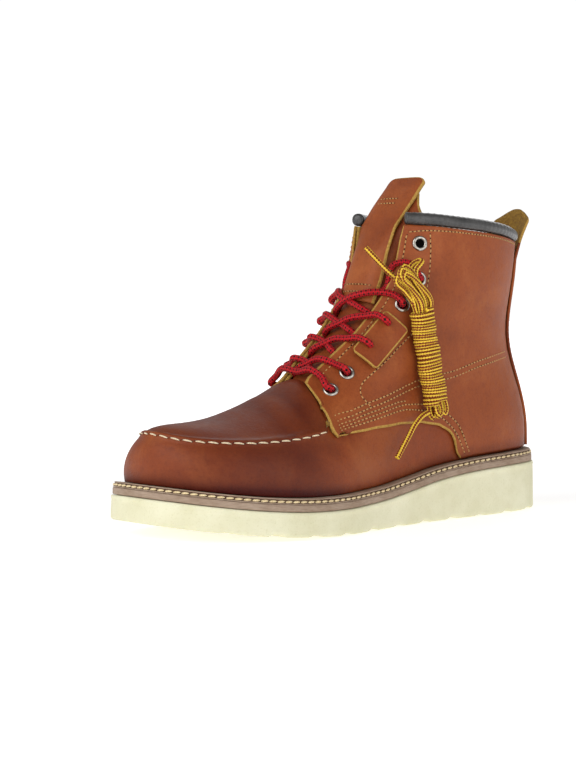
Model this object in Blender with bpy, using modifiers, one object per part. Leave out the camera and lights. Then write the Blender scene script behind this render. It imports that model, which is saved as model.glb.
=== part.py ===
import math

import bpy
import bmesh
import numpy as np
from mathutils import Matrix, Vector

# Wedge sole work boot, left foot, lace-up, moc toe. Metres, +Z up, toe toward -Y,
# outer (lateral) side toward +X. The origin is on the floor under the heel's centre.

for old in list(bpy.data.objects):
    bpy.data.objects.remove(old, do_unlink=True)

# driving sizes
MM = 0.001
SOLE_LENGTH = 306.0 * MM        # heel back to toe tip, along the floor
BALL_WIDTH = 115.0 * MM         # sole's width at the ball
HEEL_SEAT = 35.0 * MM           # origin to the sole's back end
SHAFT_RISE = 130.0 * MM         # welt to the collar's edge at the back
HEEL_STACK = 30.0 * MM          # wedge thickness under the heel
TREAD_STACK = 14.3 * MM         # wedge thickness under the ball and toe
TOE_SPRING = 10.0 * MM          # rise of the wedge's tip off the floor
MIDSOLE = 4.4 * MM
WELT = 3.4 * MM
INSOLE = 3.5 * MM
WALL = 2.2 * MM                 # vamp and quarter lining, one leather wall
LAYER = 1.9 * MM                # quarter leather laid over the wall
TONGUE_WALL = 2.0 * MM
STRAP = 1.7 * MM                # back strip, pull tab and tongue strip
SEAM_RIDGE = 1.3 * MM           # raised moc seam
CLEAR = 0.3 * MM                # between two pieces
QUARTER_GAP = 0.6 * MM          # wall to the quarter's leather, both curved
LEDGE_HEEL = 8.0 * MM           # sole edge to the upper's feather line
LEDGE_TOE = 8.0 * MM
GROOVE = 2.0 * MM               # depth of the tread's cross grooves
LUGS = 12                       # lugs along the tread
EYELET_R = 4.75 * MM
EYELET_HOLE_R = 2.6 * MM
LACE_D = 3.6 * MM
SPARE_D = 3.2 * MM              # spare lace of the hank
BINDING_H = 7.6 * MM
BINDING_W = 7.6 * MM

# share: of SOLE_LENGTH from the heel; outer, inner: of BALL_WIDTH from the centre line
SOLE_PLAN = [
    # share, outer, inner
    (0.000, 0.000, 0.000),
    (0.012, 0.150, 0.150),
    (0.045, 0.245, 0.240),
    (0.100, 0.305, 0.300),
    (0.170, 0.335, 0.325),
    (0.260, 0.345, 0.320),
    (0.360, 0.355, 0.300),
    (0.460, 0.385, 0.300),
    (0.560, 0.435, 0.345),
    (0.650, 0.485, 0.420),
    (0.730, 0.500, 0.475),
    (0.810, 0.470, 0.500),
    (0.880, 0.400, 0.475),
    (0.940, 0.290, 0.420),
    (0.980, 0.140, 0.320),
    (1.000, -0.080, 0.080),
]

# share along the sole, thickness of the wedge there as a share of heel over tread stack
WEDGE = [
    # share, fullness (0 tread stack, 1 heel stack)
    (0.00, 1.00),
    (0.15, 0.95),
    (0.28, 0.80),
    (0.36, 0.62),
    (0.44, 0.36),
    (0.52, 0.15),
    (0.60, 0.05),
    (0.70, 0.00),
    (1.00, 0.00),
]

# One row a column of the upper, heel back (row 0) along the outer side to the toe tip
# (row 17). Shares: side, out, bulge and waist of BALL_WIDTH, back of SOLE_LENGTH from the
# heel, up (above the welt there), rise and reach of SHAFT_RISE, arc of the feather line.
# rise and out: how the column leaves the welt; lean: degrees off plumb at its upper end;
# reach: that end's straight run; bulge and waist: heel cup and ankle.
COLUMNS = [
    # arc, side, back, up, rise, out, lean, reach, bulge, waist
    (0.000, 0.0000, 0.0474, 1.0029, 0.323, 0.0026, -5, 0.231, 0.0070, 0.0783),
    (0.085, 0.1435, 0.0703, 1.0111, 0.323, 0.0043, -4, 0.231, 0.0070, 0.0739),
    (0.165, 0.2435, 0.1373, 1.0373, 0.323, 0.0104, -3, 0.231, 0.0157, 0.0478),
    (0.235, 0.2870, 0.2124, 1.0642, 0.323, 0.0130, -2, 0.246, 0.0174, 0.0261),
    (0.310, 0.2870, 0.2974, 1.0951, 0.323, 0.0174, 2, 0.277, 0.0130, 0.0174),
    (0.370, 0.2478, 0.3562, 1.1231, 0.338, 0.0174, 6, 0.323, 0.0087, 0.0087),
    (0.415, 0.1783, 0.3987, 1.1431, 0.346, 0.0157, 11, 0.354, 0.0052, 0.0035),
    (0.455, 0.1720, 0.4265, 0.9045, 0.323, 0.0157, 30, 0.277, 0.0035, 0.0000),
    (0.500, 0.1357, 0.4967, 0.7134, 0.277, 0.0174, 42, 0.231, 0.0026, 0.0000),
    (0.545, 0.1096, 0.5654, 0.5930, 0.238, 0.0261, 50, 0.215, 0.0026, 0.0000),
    (0.585, 0.0826, 0.6291, 0.4803, 0.215, 0.0348, 56, 0.215, 0.0026, 0.0000),
    (0.600, 0.2304, 0.6405, 0.3886, 0.154, 0.0217, 52, 0.123, 0.0017, 0.0000),
    (0.615, 0.3435, 0.6536, 0.2851, 0.108, 0.0217, 42, 0.085, 0.0017, 0.0000),
    (0.680, 0.3522, 0.7288, 0.2586, 0.100, 0.0243, 44, 0.085, 0.0000, 0.0000),
    (0.750, 0.3217, 0.8072, 0.2364, 0.100, 0.0243, 46, 0.085, 0.0000, 0.0000),
    (0.830, 0.2435, 0.8791, 0.2217, 0.100, 0.0226, 46, 0.085, 0.0000, 0.0000),
    (0.915, 0.1130, 0.9314, 0.2174, 0.100, 0.0209, 46, 0.077, 0.0000, 0.0000),
    (1.000, -0.0522, 0.9569, 0.2298, 0.100, 0.0191, 46, 0.077, 0.0000, 0.0000),
]
# inner side where it isn't the outer side's mirror image
INNER_ROWS = [
    # row, side, up
    (7, -0.1548, 0.9045),
    (12, -0.3261, 0.2928),
    (13, -0.3304, 0.2663),
    (14, -0.3261, 0.2441),
    (15, -0.3043, 0.2294),
    (16, -0.2217, 0.2266),
]
N_ROWS = len(COLUMNS) - 1
LOOP = 2 * N_ROWS
CORNERS = [6, 10, 12, LOOP - 12, LOOP - 10, LOOP - 6]
# the apron's crown, toe to throat
CROWN = [
    # back, up
    (0.9569, 0.2298),
    (0.9379, 0.2582),
    (0.9150, 0.2752),
    (0.8725, 0.2944),
    (0.8268, 0.3184),
    (0.7810, 0.3520),
    (0.7353, 0.3965),
    (0.6863, 0.4471),
    (0.6536, 0.4766),
    (0.6291, 0.4957),
]
# the tongue's middle line, from the throat to the tip
TONGUE_LINE = [
    # back, up, half width of the tongue, half width of its strip
    (0.6373, 0.4385, 0.078, 0.000),
    (0.5980, 0.5161, 0.122, 0.000),
    (0.5458, 0.6054, 0.174, 0.000),
    (0.5000, 0.6989, 0.217, 0.000),
    (0.4690, 0.8121, 0.209, 0.122),
    (0.4510, 0.9289, 0.222, 0.122),
    (0.4281, 1.0359, 0.230, 0.123),
    (0.3987, 1.1316, 0.235, 0.126),
    (0.3676, 1.2116, 0.183, 0.130),
    (0.3366, 1.2863, 0.113, 0.135),
    (0.3170, 1.3347, 0.104, 0.139),
]
# lower edge of the quarter on its column, above the welt (0 means the welt itself)
QUARTER_EDGE = [
    # column row, up
    (0.50, 0.0000),
    (3.60, 0.0000),
    (3.74, 0.0780),
    (3.86, 0.1223),
    (4.08, 0.1569),
    (4.52, 0.1952),
    (5.60, 0.2396),
    (7.00, 0.2609),
    (8.50, 0.2670),
    (10.00, 0.2565),
]

PARTS = bpy.data.collections.new("wedge_sole_work_boot")
bpy.context.scene.collection.children.link(PARTS)


# helpers
def smooth(xs, ys, x):
    """Smooth curve through the rows of a table column."""
    xs = np.asarray(xs, float)
    ys = np.asarray(ys, float)
    x = np.asarray(x, float)
    slope = np.gradient(ys, xs, axis=0)
    i = np.clip(np.searchsorted(xs, x, side="right") - 1, 0, len(xs) - 2)
    h = xs[i + 1] - xs[i]
    t = (x - xs[i]) / h
    if ys.ndim > 1:
        h = np.asarray(h)[..., None]
        t = np.asarray(t)[..., None]
    a = 2 * t ** 3 - 3 * t ** 2 + 1
    b = t ** 3 - 2 * t ** 2 + t
    c = -2 * t ** 3 + 3 * t ** 2
    d = t ** 3 - t ** 2
    return a * ys[i] + b * h * slope[i] + c * ys[i + 1] + d * h * slope[i + 1]


def material(name, rgb, rough, metal=0.0):
    mat = bpy.data.materials.get(name)
    if mat is None:
        mat = bpy.data.materials.new(name)
        mat.use_nodes = True
        node = mat.node_tree.nodes["Principled BSDF"]
        node.inputs["Base Color"].default_value = (*[(c / 255.0) ** 2.2 for c in rgb], 1.0)
        node.inputs["Roughness"].default_value = rough
        node.inputs["Metallic"].default_value = metal
    return mat


def part(name, bm, mat, collection=None):
    bmesh.ops.remove_doubles(bm, verts=bm.verts, dist=1e-6)
    bmesh.ops.recalc_face_normals(bm, faces=bm.faces)
    mesh = bpy.data.meshes.new(name)
    bm.to_mesh(mesh)
    bm.free()
    ob = bpy.data.objects.new(name, mesh)
    (collection or PARTS).objects.link(ob)
    mesh.materials.append(mat)
    for poly in mesh.polygons:
        poly.use_smooth = True
    return ob


def grid_faces(bm, rows, wrap=False):
    """Quads between rows of vertices, all rows of one length."""
    verts = [[bm.verts.new(p) for p in row] for row in rows]
    n = len(verts[0])
    for a, b in zip(verts[:-1], verts[1:]):
        for i in range(n if wrap else n - 1):
            k = (i + 1) % n
            quad = [a[i], a[k], b[k], b[i]]
            if len(set(quad)) == 4:
                bm.faces.new(quad)
    return verts


def thicken(ob, thickness, offset):
    """Solidify shell: offset -1 grows inward, +1 outward."""
    mod = ob.modifiers.new("wall", "SOLIDIFY")
    mod.thickness = thickness
    mod.offset = offset
    mod.use_even_offset = False
    mod.use_rim = True
    return ob


# plan of the sole
def plan_loop():
    rows = np.array(SOLE_PLAN)
    outer = np.c_[rows[:, 1] * BALL_WIDTH, HEEL_SEAT - rows[:, 0] * SOLE_LENGTH]
    inner = np.c_[-rows[:, 2] * BALL_WIDTH, HEEL_SEAT - rows[:, 0] * SOLE_LENGTH]
    inner[-1] = outer[-1]
    ring = np.vstack([outer, inner[::-1][1:-1]])
    n = len(ring)
    far = np.vstack([ring[-4:], ring, ring[:5]])
    step = np.r_[0, np.cumsum(np.linalg.norm(np.diff(far, axis=0), axis=1))]
    dense = []
    for i in range(4, 4 + n):
        q = np.linspace(step[i], step[i + 1], 40, endpoint=False)
        dense.append(smooth(step[i - 3:i + 5], far[i - 3:i + 5], q))
    return np.vstack(dense)


PLAN = plan_loop()
_t = np.roll(PLAN, -3, axis=0) - np.roll(PLAN, 3, axis=0)
PLAN_OUT = np.c_[-_t[:, 1], _t[:, 0]] / np.linalg.norm(_t, axis=1)[:, None]
if (PLAN_OUT[0] @ (PLAN[0] - PLAN.mean(0))) < 0:
    PLAN_OUT = -PLAN_OUT


def share_of(y):
    return (HEEL_SEAT - np.asarray(y)) / SOLE_LENGTH


def ledge(share):
    return LEDGE_HEEL + (LEDGE_TOE - LEDGE_HEEL) * smooth(
        [-0.1, 0.25, 0.50, 0.78, 1.1], [0.0, 0.0, 0.45, 1.0, 1.0], np.clip(share, 0, 1))


def inset_loop(inset, on_ledge):
    """The sole's outline moved inward; on_ledge adds the ledge's own width."""
    move = inset + (ledge(share_of(PLAN[:, 1])) if on_ledge else 0.0)
    return PLAN - PLAN_OUT * np.reshape(move, (-1, 1) if np.ndim(move) else (1, 1))


def halves(loop):
    """Outer and inner side of a loop, heel to toe."""
    tip = int(np.argmin(loop[:, 1]))
    back = int(np.argmax(loop[:, 1]))
    n = len(loop)
    k1 = (tip - back) % n
    outer = loop[(back + np.arange(k1 + 1)) % n]
    inner = loop[(back - np.arange(n - k1 + 1)) % n]
    if outer[k1 // 2, 0] < 0:
        outer, inner = inner, outer
    return outer, inner


def wedge_bottom(y):
    return TOE_SPRING * np.clip((share_of(y) - 0.62) / 0.38, 0, 1) ** 2


def wedge_top(y):
    rows = np.array(WEDGE)
    full = smooth(rows[:, 0], rows[:, 1], np.clip(share_of(y), 0, 1))
    return wedge_bottom(y) + TREAD_STACK + (HEEL_STACK - TREAD_STACK) * full


def feather_z(y):
    return wedge_top(y) + MIDSOLE + WELT


def place(side, back, up):
    """A point from its shares: side, back from the heel, up above the welt."""
    y = HEEL_SEAT - back * SOLE_LENGTH
    return np.array([side * BALL_WIDTH, y, float(feather_z(y)) + up * SHAFT_RISE])


def stations(n, marks=()):
    """Shares from heel to toe, close together at the rounded ends."""
    t = (1 - np.cos(np.linspace(0, math.pi, n))) / 2
    t = 0.5 * t + 0.5 * (0.5 - 0.5 * np.cos(np.pi * t))
    if len(marks):
        inside = np.array(marks)
        keep = [v for v in t if v < 0.03 or v > 0.97 or np.min(np.abs(inside - v)) > 0.008]
        t = np.sort(np.r_[keep, inside])
    return t


def rim(loop, ts):
    """Closed ring of points at stations ts: heel, outer side, toe, inner side."""
    outer, inner = halves(loop)
    y0 = outer[0, 1]
    y1 = outer[-1, 1]
    ys = y0 + (y1 - y0) * ts
    xo = np.interp(-ys, -outer[:, 1], outer[:, 0])
    xi = np.interp(-ys, -inner[:, 1], inner[:, 0])
    ring = [(xo[0], ys[0])]
    ring += [(x, y) for x, y in zip(xo[1:-1], ys[1:-1])]
    ring += [(xo[-1], ys[-1])]
    ring += [(x, y) for x, y in zip(xi[1:-1][::-1], ys[1:-1][::-1])]
    return np.array(ring)


def slab(name, levels, ts, mat, hole=False):
    """Closed solid from rings (loop, height function), capped by strips across."""
    bm = bmesh.new()
    rings = []
    for loop, height in levels:
        ring = rim(loop, ts)
        rings.append([bm.verts.new((x, y, height(y, i))) for i, (x, y) in enumerate(ring)])
    n = len(rings[0])
    pairs = list(zip(rings[:-1], rings[1:]))
    if hole:
        pairs.append((rings[-1], rings[0]))
    for a, b in pairs:
        for i in range(n):
            k = (i + 1) % n
            bm.faces.new([a[i], a[k], b[k], b[i]])
    if not hole:
        half = n // 2
        for ring in (rings[0], rings[-1]):
            bm.faces.new([ring[0], ring[1], ring[n - 1]])
            for i in range(1, half - 1):
                bm.faces.new([ring[i], ring[i + 1], ring[n - i - 1], ring[n - i]])
            bm.faces.new([ring[half - 1], ring[half], ring[half + 1]])
    return part(name, bm, mat)


CREAM = material("cream_rubber", (238, 236, 208), 0.7)
TAUPE = material("taupe_leatherboard", (146, 124, 97), 0.75)
BROWN = material("brown_oiled_leather", (150, 82, 50), 0.55)
TAN = material("tan_leather", (169, 99, 64), 0.6)
DARK = material("dark_lining_leather", (60, 58, 56), 0.6)
INNER = material("tan_insole_leather", (176, 138, 96), 0.8)
NICKEL = material("dark_nickel", (88, 84, 78), 0.35, 1.0)
RED = material("red_cord", (176, 32, 38), 0.85)
YELLOW = material("yellow_cord", (224, 190, 84), 0.85)

# sole: wedge, midsole, welt, insole
pitch = 1.0 / LUGS
seat = HEEL_SEAT / SOLE_LENGTH
cuts = []
depth_at = {}
for i in range(LUGS):
    c = seat + (i - 0.5) * pitch
    if not 0.04 < c < 0.96:
        continue
    for d, deep in ((-0.0085, 0.0), (-0.0035, 0.85), (0.0035, 0.85), (0.0085, 0.0)):
        cuts.append(c + d)
        depth_at[round(c + d, 5)] = deep
tread_ts = stations(32, cuts)
tread_depth = np.array([depth_at.get(round(t, 5), 0.0) for t in tread_ts])
tread_depth = np.r_[tread_depth, tread_depth[1:-1][::-1]]


def tread_z(y, i):
    return wedge_bottom(y) + GROOVE * tread_depth[i]


def tread_side_z(y, i):
    return wedge_bottom(y) + 1.4 * MM + GROOVE * tread_depth[i]


slab("outsole", [
    (inset_loop(1.2 * MM, False), tread_z),
    (inset_loop(0.0, False), tread_side_z),
    (inset_loop(0.1 * MM, False), lambda y, i: wedge_bottom(y) + 1.4 * MM + GROOVE * 1.6),
    (inset_loop(0.6 * MM, False), lambda y, i: wedge_top(y) - 1.0 * MM),
    (inset_loop(1.3 * MM, False), lambda y, i: wedge_top(y)),
], tread_ts, CREAM)

plain_ts = stations(24)
slab("midsole", [
    (inset_loop(1.6 * MM, False), lambda y, i: wedge_top(y) + CLEAR),
    (inset_loop(1.2 * MM, False), lambda y, i: wedge_top(y) + CLEAR + 0.6 * MM),
    (inset_loop(1.2 * MM, False), lambda y, i: wedge_top(y) + MIDSOLE - 0.6 * MM),
    (inset_loop(1.6 * MM, False), lambda y, i: wedge_top(y) + MIDSOLE),
], plain_ts, TAUPE)

slab("welt", [
    (inset_loop(2.0 * MM, False), lambda y, i: feather_z(y) - WELT + CLEAR),
    (inset_loop(1.7 * MM, False), lambda y, i: feather_z(y) - WELT + CLEAR + 0.6 * MM),
    (inset_loop(1.7 * MM, False), lambda y, i: feather_z(y) - 0.6 * MM),
    (inset_loop(2.3 * MM, False), lambda y, i: feather_z(y)),
    (inset_loop(WALL + 5.0 * MM, True), lambda y, i: feather_z(y)),
    (inset_loop(WALL + 5.0 * MM, True), lambda y, i: feather_z(y) - WELT + CLEAR),
], plain_ts, TAUPE, hole=True)

slab("insole", [
    (inset_loop(WALL + 5.4 * MM, True), lambda y, i: wedge_top(y) + MIDSOLE + CLEAR),
    (inset_loop(WALL + 5.4 * MM, True), lambda y, i: feather_z(y) + CLEAR),
    (inset_loop(WALL + 2.2 * MM, True), lambda y, i: feather_z(y) + CLEAR),
    (inset_loop(WALL + 2.2 * MM, True), lambda y, i: feather_z(y) + CLEAR + INSOLE - 0.6 * MM),
    (inset_loop(WALL + 3.0 * MM, True), lambda y, i: feather_z(y) + CLEAR + INSOLE),
], plain_ts, INNER)


# the upper's own function
def column_tables():
    inner_rows = {k: (side, up) for k, side, up in INNER_ROWS}
    rows = []
    other = []
    for k, (arc, side, back, up, rise, out, lean, reach, bulge, waist) in enumerate(COLUMNS):
        rest = [rise * SHAFT_RISE, out * BALL_WIDTH, lean, reach * SHAFT_RISE,
                bulge * BALL_WIDTH, waist * BALL_WIDTH]
        rows.append([arc, *place(side, back, up), *rest])
        side, up = inner_rows.get(k, (-side, up))
        other.append([arc, *place(side, back, up), *rest])
    table = np.array(rows + [other[k] for k in range(N_ROWS - 1, 0, -1)])
    arc = np.r_[table[:N_ROWS + 1, 0], 2.0 - table[N_ROWS + 1:, 0]]
    return table, arc


TABLE, ARC = column_tables()
FEATHER = inset_loop(0.0, True)
_outer, _inner = halves(FEATHER)


def along(line, share):
    d = np.r_[0, np.cumsum(np.linalg.norm(np.diff(line, axis=0), axis=1))]
    return np.array([np.interp(share * d[-1], d, line[:, 0]), np.interp(share * d[-1], d, line[:, 1])])


def feather_point(arc):
    arc = arc % 2.0
    return along(_outer, arc) if arc <= 1.0 else along(_inner, 2.0 - arc)


def loop_row(column, j, smooth_all=False):
    """A table column at loop position j, smooth between the corners of the top line."""
    marks = CORNERS
    j = j % LOOP
    if smooth_all:
        k = int(math.floor(j))
        idx = [(k + d) for d in (-2, -1, 0, 1, 2, 3)]
    else:
        lo = max([m for m in marks if m <= j], default=marks[-1] - LOOP)
        hi = min([m for m in marks if m > j], default=marks[0] + LOOP)
        idx = list(range(lo, hi + 1))
    ys = np.array([column[i % LOOP] for i in idx])
    return smooth(idx, ys, j)


def column(j):
    """Everything that shapes one column of the wall."""
    j = j % LOOP
    k = int(math.floor(j))
    idx = [k - 2, k - 1, k, k + 1, k + 2, k + 3]
    arcs = np.array([ARC[i % LOOP] + 2.0 * (i // LOOP) for i in idx])
    arc = float(smooth(idx, arcs, j))
    foot = feather_point(arc)
    e = 0.012
    side = feather_point(arc + e) - feather_point(arc - e)
    out = np.array([-side[1], side[0], 0.0]) / np.linalg.norm(side)
    top = loop_row(TABLE[:, 1:4], j)
    rise, push, lean, reach, bulge, waist = loop_row(TABLE[:, 4:10], j, True)
    base = np.array([foot[0], foot[1], float(feather_z(foot[1])) + CLEAR])
    up = np.array([0.0, 0.0, 1.0])
    lean = math.radians(lean)
    end = up * math.cos(lean) - out * math.sin(lean)
    p1 = base + up * rise + out * push
    p2 = top - end * reach
    return base, p1, p2, top, out, bulge, waist


_cache = {}


def raw_point(j, h):
    key = round(j % LOOP, 6)
    if key not in _cache:
        _cache[key] = column(j)
    base, p1, p2, top, out, bulge, waist = _cache[key]
    g = 1 - h
    p = base * g ** 3 + 3 * p1 * g * g * h + 3 * p2 * g * h * h + top * h ** 3
    up = (p[2] - base[2]) / SHAFT_RISE
    cup = math.exp(-((up - 0.14) / 0.155) ** 2) * min(1.0, h * 8)
    ankle = math.exp(-((up - 0.555) / 0.26) ** 2)
    return p + out * (bulge * cup - waist * ankle)


def wall_point(j, h):
    """Outer face of the wall: column j, height share h; blended sideways under its edge."""
    p = raw_point(j, h)
    k = j % LOOP
    k = min(k, LOOP - k)
    blend = min(1.0, (1.0 - h) / 0.22) * min(1.0, h / 0.12)
    blend *= min(1.0, max(0.0, (k - 4.2) / 1.2)) * min(1.0, max(0.0, (13.4 - k) / 1.2))
    if blend <= 0.0:
        return p
    soft = (raw_point(j - 1.2, h) + raw_point(j + 1.2, h)) * 0.125
    soft = soft + (raw_point(j - 0.6, h) + raw_point(j + 0.6, h)) * 0.25 + p * 0.25
    return p * (1 - blend) + soft * blend


def wall_normal(j, h):
    e = 0.02
    a = wall_point(j + e, h) - wall_point(j - e, h)
    h0, h1 = max(0.0, h - 0.02), min(1.0, h + 0.02)
    b = wall_point(j, h1) - wall_point(j, h0)
    n = np.cross(b, a)
    return n / np.linalg.norm(n)


def off_wall(j, h, d):
    return wall_point(j, h) + wall_normal(j, h) * d


def h_at_up(j, up):
    """Height share at which column j passes a height above its foot."""
    hs = np.linspace(0, 1, 41)
    zs = np.array([wall_point(j, h)[2] for h in hs])
    return float(np.interp(zs[0] + up * SHAFT_RISE, np.maximum.accumulate(zs), hs))


def crown_z(x, y, xo, xi, zo, zi):
    """Apron height between the two seams at y."""
    back = (HEEL_SEAT - y) / SOLE_LENGTH
    rows = np.array(CROWN)[::-1]
    top = float(feather_z(y)) + float(smooth(rows[:, 0], rows[:, 1], back)) * SHAFT_RISE
    mid = (xo + xi) / 2
    half = max((xo - xi) / 2, 1e-6)
    u = (x - mid) / half
    seam = zo + (zi - zo) * (xo - x) / max(xo - xi, 1e-6)
    return seam + (top - (zo + zi) / 2) * (1 - u * u)


def seam_lift(j):
    """The moc seam stands proud between the two throat corners round the toe."""
    lo, hi = CORNERS[2], CORNERS[3]
    if j <= lo or j >= hi:
        return 0.0
    return SEAM_RIDGE * min(1.0, (j - lo) / 0.6, (hi - j) / 0.6)


UPPER_H = [0.0, 0.10, 0.22, 0.34, 0.46, 0.58, 0.70, 0.82, 0.93, 1.0]
SIDE_ROWS = [0, 0.5, 1, 1.5, 2, 2.5, 3, 3.5, 4, 4.5, 5, 5.5, 6, 6.5, 7, 8, 9, 10, 11, 12, 13, 14, 14.5, 15, 15.5, 16, 16.5]
ALL_ROWS = SIDE_ROWS + [17] + [LOOP - j for j in SIDE_ROWS[:0:-1]]


def upper_surface(stops, across, heights):
    bm = bmesh.new()
    js = np.array(stops, float)
    rows = []
    for h in heights:
        row = []
        for j in js:
            p = wall_point(j, h)
            if h == 1.0:
                p = p + wall_normal(j, 1.0) * seam_lift(j)
            row.append(tuple(p))
        rows.append(row)
    grid_faces(bm, rows, wrap=True)
    # apron between the seams, toe tip to throat
    pairs = sorted([j for j in stops if CORNERS[1] <= j < N_ROWS], reverse=True)
    tip = wall_point(N_ROWS, 1.0) + wall_normal(N_ROWS, 1.0) * seam_lift(N_ROWS)
    us = [0.0] + list((1 - np.cos(np.linspace(0.35, math.pi - 0.35, across - 1))) / 2) + [1.0]
    prev = None
    for j in pairs:
        a = wall_point(j, 1.0)
        b = wall_point(LOOP - j, 1.0)
        la = wall_normal(j, 1.0) * seam_lift(j)
        lb = wall_normal(LOOP - j, 1.0) * seam_lift(LOOP - j)
        row = []
        for u in us:
            if u == 0.0:
                row.append(tuple(a + la))
            elif u == 1.0:
                row.append(tuple(b + lb))
            else:
                x = a[0] + (b[0] - a[0]) * u
                row.append((x, a[1], crown_z(x, a[1], a[0], b[0], a[2], b[2])))
        verts = [bm.verts.new(p) for p in row]
        if prev is None:
            t = bm.verts.new(tuple(tip))
            for i in range(len(verts) - 1):
                bm.faces.new([t, verts[i], verts[i + 1]])
        else:
            for i in range(len(verts) - 1):
                bm.faces.new([prev[i], prev[i + 1], verts[i + 1], verts[i]])
        prev = verts
    return bm


upper = thicken(part("upper", upper_surface(ALL_ROWS, 9, UPPER_H), BROWN), WALL, -1)


# quarters: leather laid over the wall, raw lower and front edges
def quarter(name, side):
    rows = np.array(QUARTER_EDGE)
    js = [j for j in SIDE_ROWS if 0.5 <= j <= 10.0 and j not in (3.5, 4, 4.5)] + [j for j in rows[:, 0] if 3.5 < j < 4.6]
    js = np.unique(js)
    bm = bmesh.new()
    grid = []
    for j in js:
        up = float(np.interp(j, rows[:, 0], rows[:, 1]))
        jj = j if side > 0 else LOOP - j
        low = h_at_up(jj, up) if up > 0.0 else 0.012
        keep = UPPER_H.index(0.58)
        hs = [low + (UPPER_H[keep] - low) * h / UPPER_H[keep] for h in UPPER_H[:keep]] + UPPER_H[keep:]
        grid.append([tuple(off_wall(jj, h, QUARTER_GAP)) for h in hs])
    grid_faces(bm, grid if side > 0 else grid[::-1])
    return part(name, bm, BROWN)


def outward(ob, inside):
    """Make an open sheet's normals face away from a point inside the boot."""
    mesh = ob.data
    total = 0.0
    for poly in mesh.polygons:
        total += poly.normal.dot(poly.center - Vector(inside)) * poly.area
    if total < 0:
        bm = bmesh.new()
        bm.from_mesh(mesh)
        bmesh.ops.reverse_faces(bm, faces=bm.faces)
        bm.to_mesh(mesh)
        bm.free()
    return ob


MIDDLE = tuple(place(0.0, 0.31, 0.35))
outward(upper, MIDDLE)
quarter_outer = thicken(outward(quarter("quarter_outer", 1), MIDDLE), LAYER, 1)
quarter_inner = thicken(outward(quarter("quarter_inner", -1), MIDDLE), LAYER, 1)


# tongue: one sheet under both facings, its wings inside the quarters
def tongue_frames():
    """For each row: middle point, direction inward, widths, and how the face falls away."""
    rows = []
    for back, up, half, strip in TONGUE_LINE:
        rows.append([place(0.0, back, up), half * BALL_WIDTH, strip * BALL_WIDTH])
    js = np.arange(4.0, 10.01, 0.125)
    hs = np.linspace(0.35, 1.0, 40)
    cloud = np.array([off_wall(j, h, -WALL) for k in js for j in (k, LOOP - k) for h in hs])
    cloud[:, 0] = np.abs(cloud[:, 0])
    frames = []
    last = None
    for i, (m, half, strip) in enumerate(rows):
        t = rows[min(i + 1, len(rows) - 1)][0] - rows[max(i - 1, 0)][0]
        t /= np.linalg.norm(t)
        d = np.array([0.0, t[2], -t[1]])
        rel = cloud - m
        near = (np.abs(rel @ t) < 3.0 * MM) & (rel @ d > -5 * MM)
        x, drop = rel[near][:, 0], (rel @ d)[near]
        if len(x) > 12 and x.min() < 0.22 * BALL_WIDTH:
            x0 = x.min() - 0.3 * MM
            xs = [x0]
            ds = [max(float(drop[x < x0 + 1.6 * MM].max()), 0.0) + 1.0 * MM]
            for x1 in np.arange(x0 + 3.0 * MM, half + 4.0 * MM, 3.0 * MM):
                band = drop[np.abs(x - x1) < 1.8 * MM]
                xs.append(x1)
                level = float(band.max()) + 1.0 * MM if len(band) else ds[-1] + 3.0 * MM
                ds.append(max(level, ds[-1] + 0.3 * MM))
            last = (x0, np.array(xs), np.array(ds))
        frames.append([m, d, half, strip, last])
    for i in range(len(frames) - 2, -1, -1):
        if frames[i][4] is None:
            frames[i][4] = frames[i + 1][4]
    return frames


FRAMES = tongue_frames()


def fall(frame, x):
    x0, xs, ds = frame[4]
    x = abs(x)
    if x < x0:
        return ds[0] * (x / x0) ** 4
    return float(np.interp(x, xs, ds))


def tongue_point(row, x, lift=0.0):
    """Point over the tongue's outer face at a row of its table (whole or part), x aside."""
    i = int(np.clip(math.floor(row), 0, len(FRAMES) - 2))
    f = row - i
    pts = [k[0] + np.array([x, 0.0, 0.0]) + k[1] * (fall(k, x) - lift) for k in FRAMES[i:i + 2]]
    return pts[0] * (1 - f) + pts[1] * f


def tongue_sheet(name, first, last, width_col, lift, mat, n=4, across=10, thick=STRAP):
    bm = bmesh.new()
    rows = []
    count = int(round((last - first) * n))
    for q in np.linspace(first, last, count + 1):
        half = float(np.interp(q, range(len(FRAMES)), [f[width_col] for f in FRAMES]))
        rows.append([tuple(tongue_point(q, x, lift)) for x in np.linspace(-half, half, across + 1)])
    grid_faces(bm, rows)
    ob = outward(part(name, bm, mat), MIDDLE)
    return ob


thicken(tongue_sheet("tongue", 0.0, 9.0, 2, 0.0, BROWN, n=2, across=12), TONGUE_WALL, -1)
STRIP_FROM = 4.0
STRIP_GAP = 0.9 * MM
thicken(tongue_sheet("tongue_strip", STRIP_FROM, 10.0, 3, STRIP_GAP, TAN, n=2, across=6), STRAP, 1)


# back strip with its pull tab
STRIP_HALF = [
    # height share, half width of the strip
    (0.0, 0.165),
    (0.25, 0.143),
    (0.6, 0.139),
    (0.85, 0.143),
    (1.0, 0.135),
]
TAB_RISE = 24.0 * MM
TAB_LEAN = 11.0 * MM
TAB_HALF = 14.0 * MM


BACK_LIFT = QUARTER_GAP + LAYER + 2 * CLEAR


def ring_at(h):
    js = np.arange(-2.5, 2.51, 0.1)
    pts = np.array([off_wall(j, h, BACK_LIFT) for j in js])
    d = np.r_[0, np.cumsum(np.linalg.norm(np.diff(pts, axis=0), axis=1))]
    mid = len(js) // 2
    return js, d - d[mid]


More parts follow.
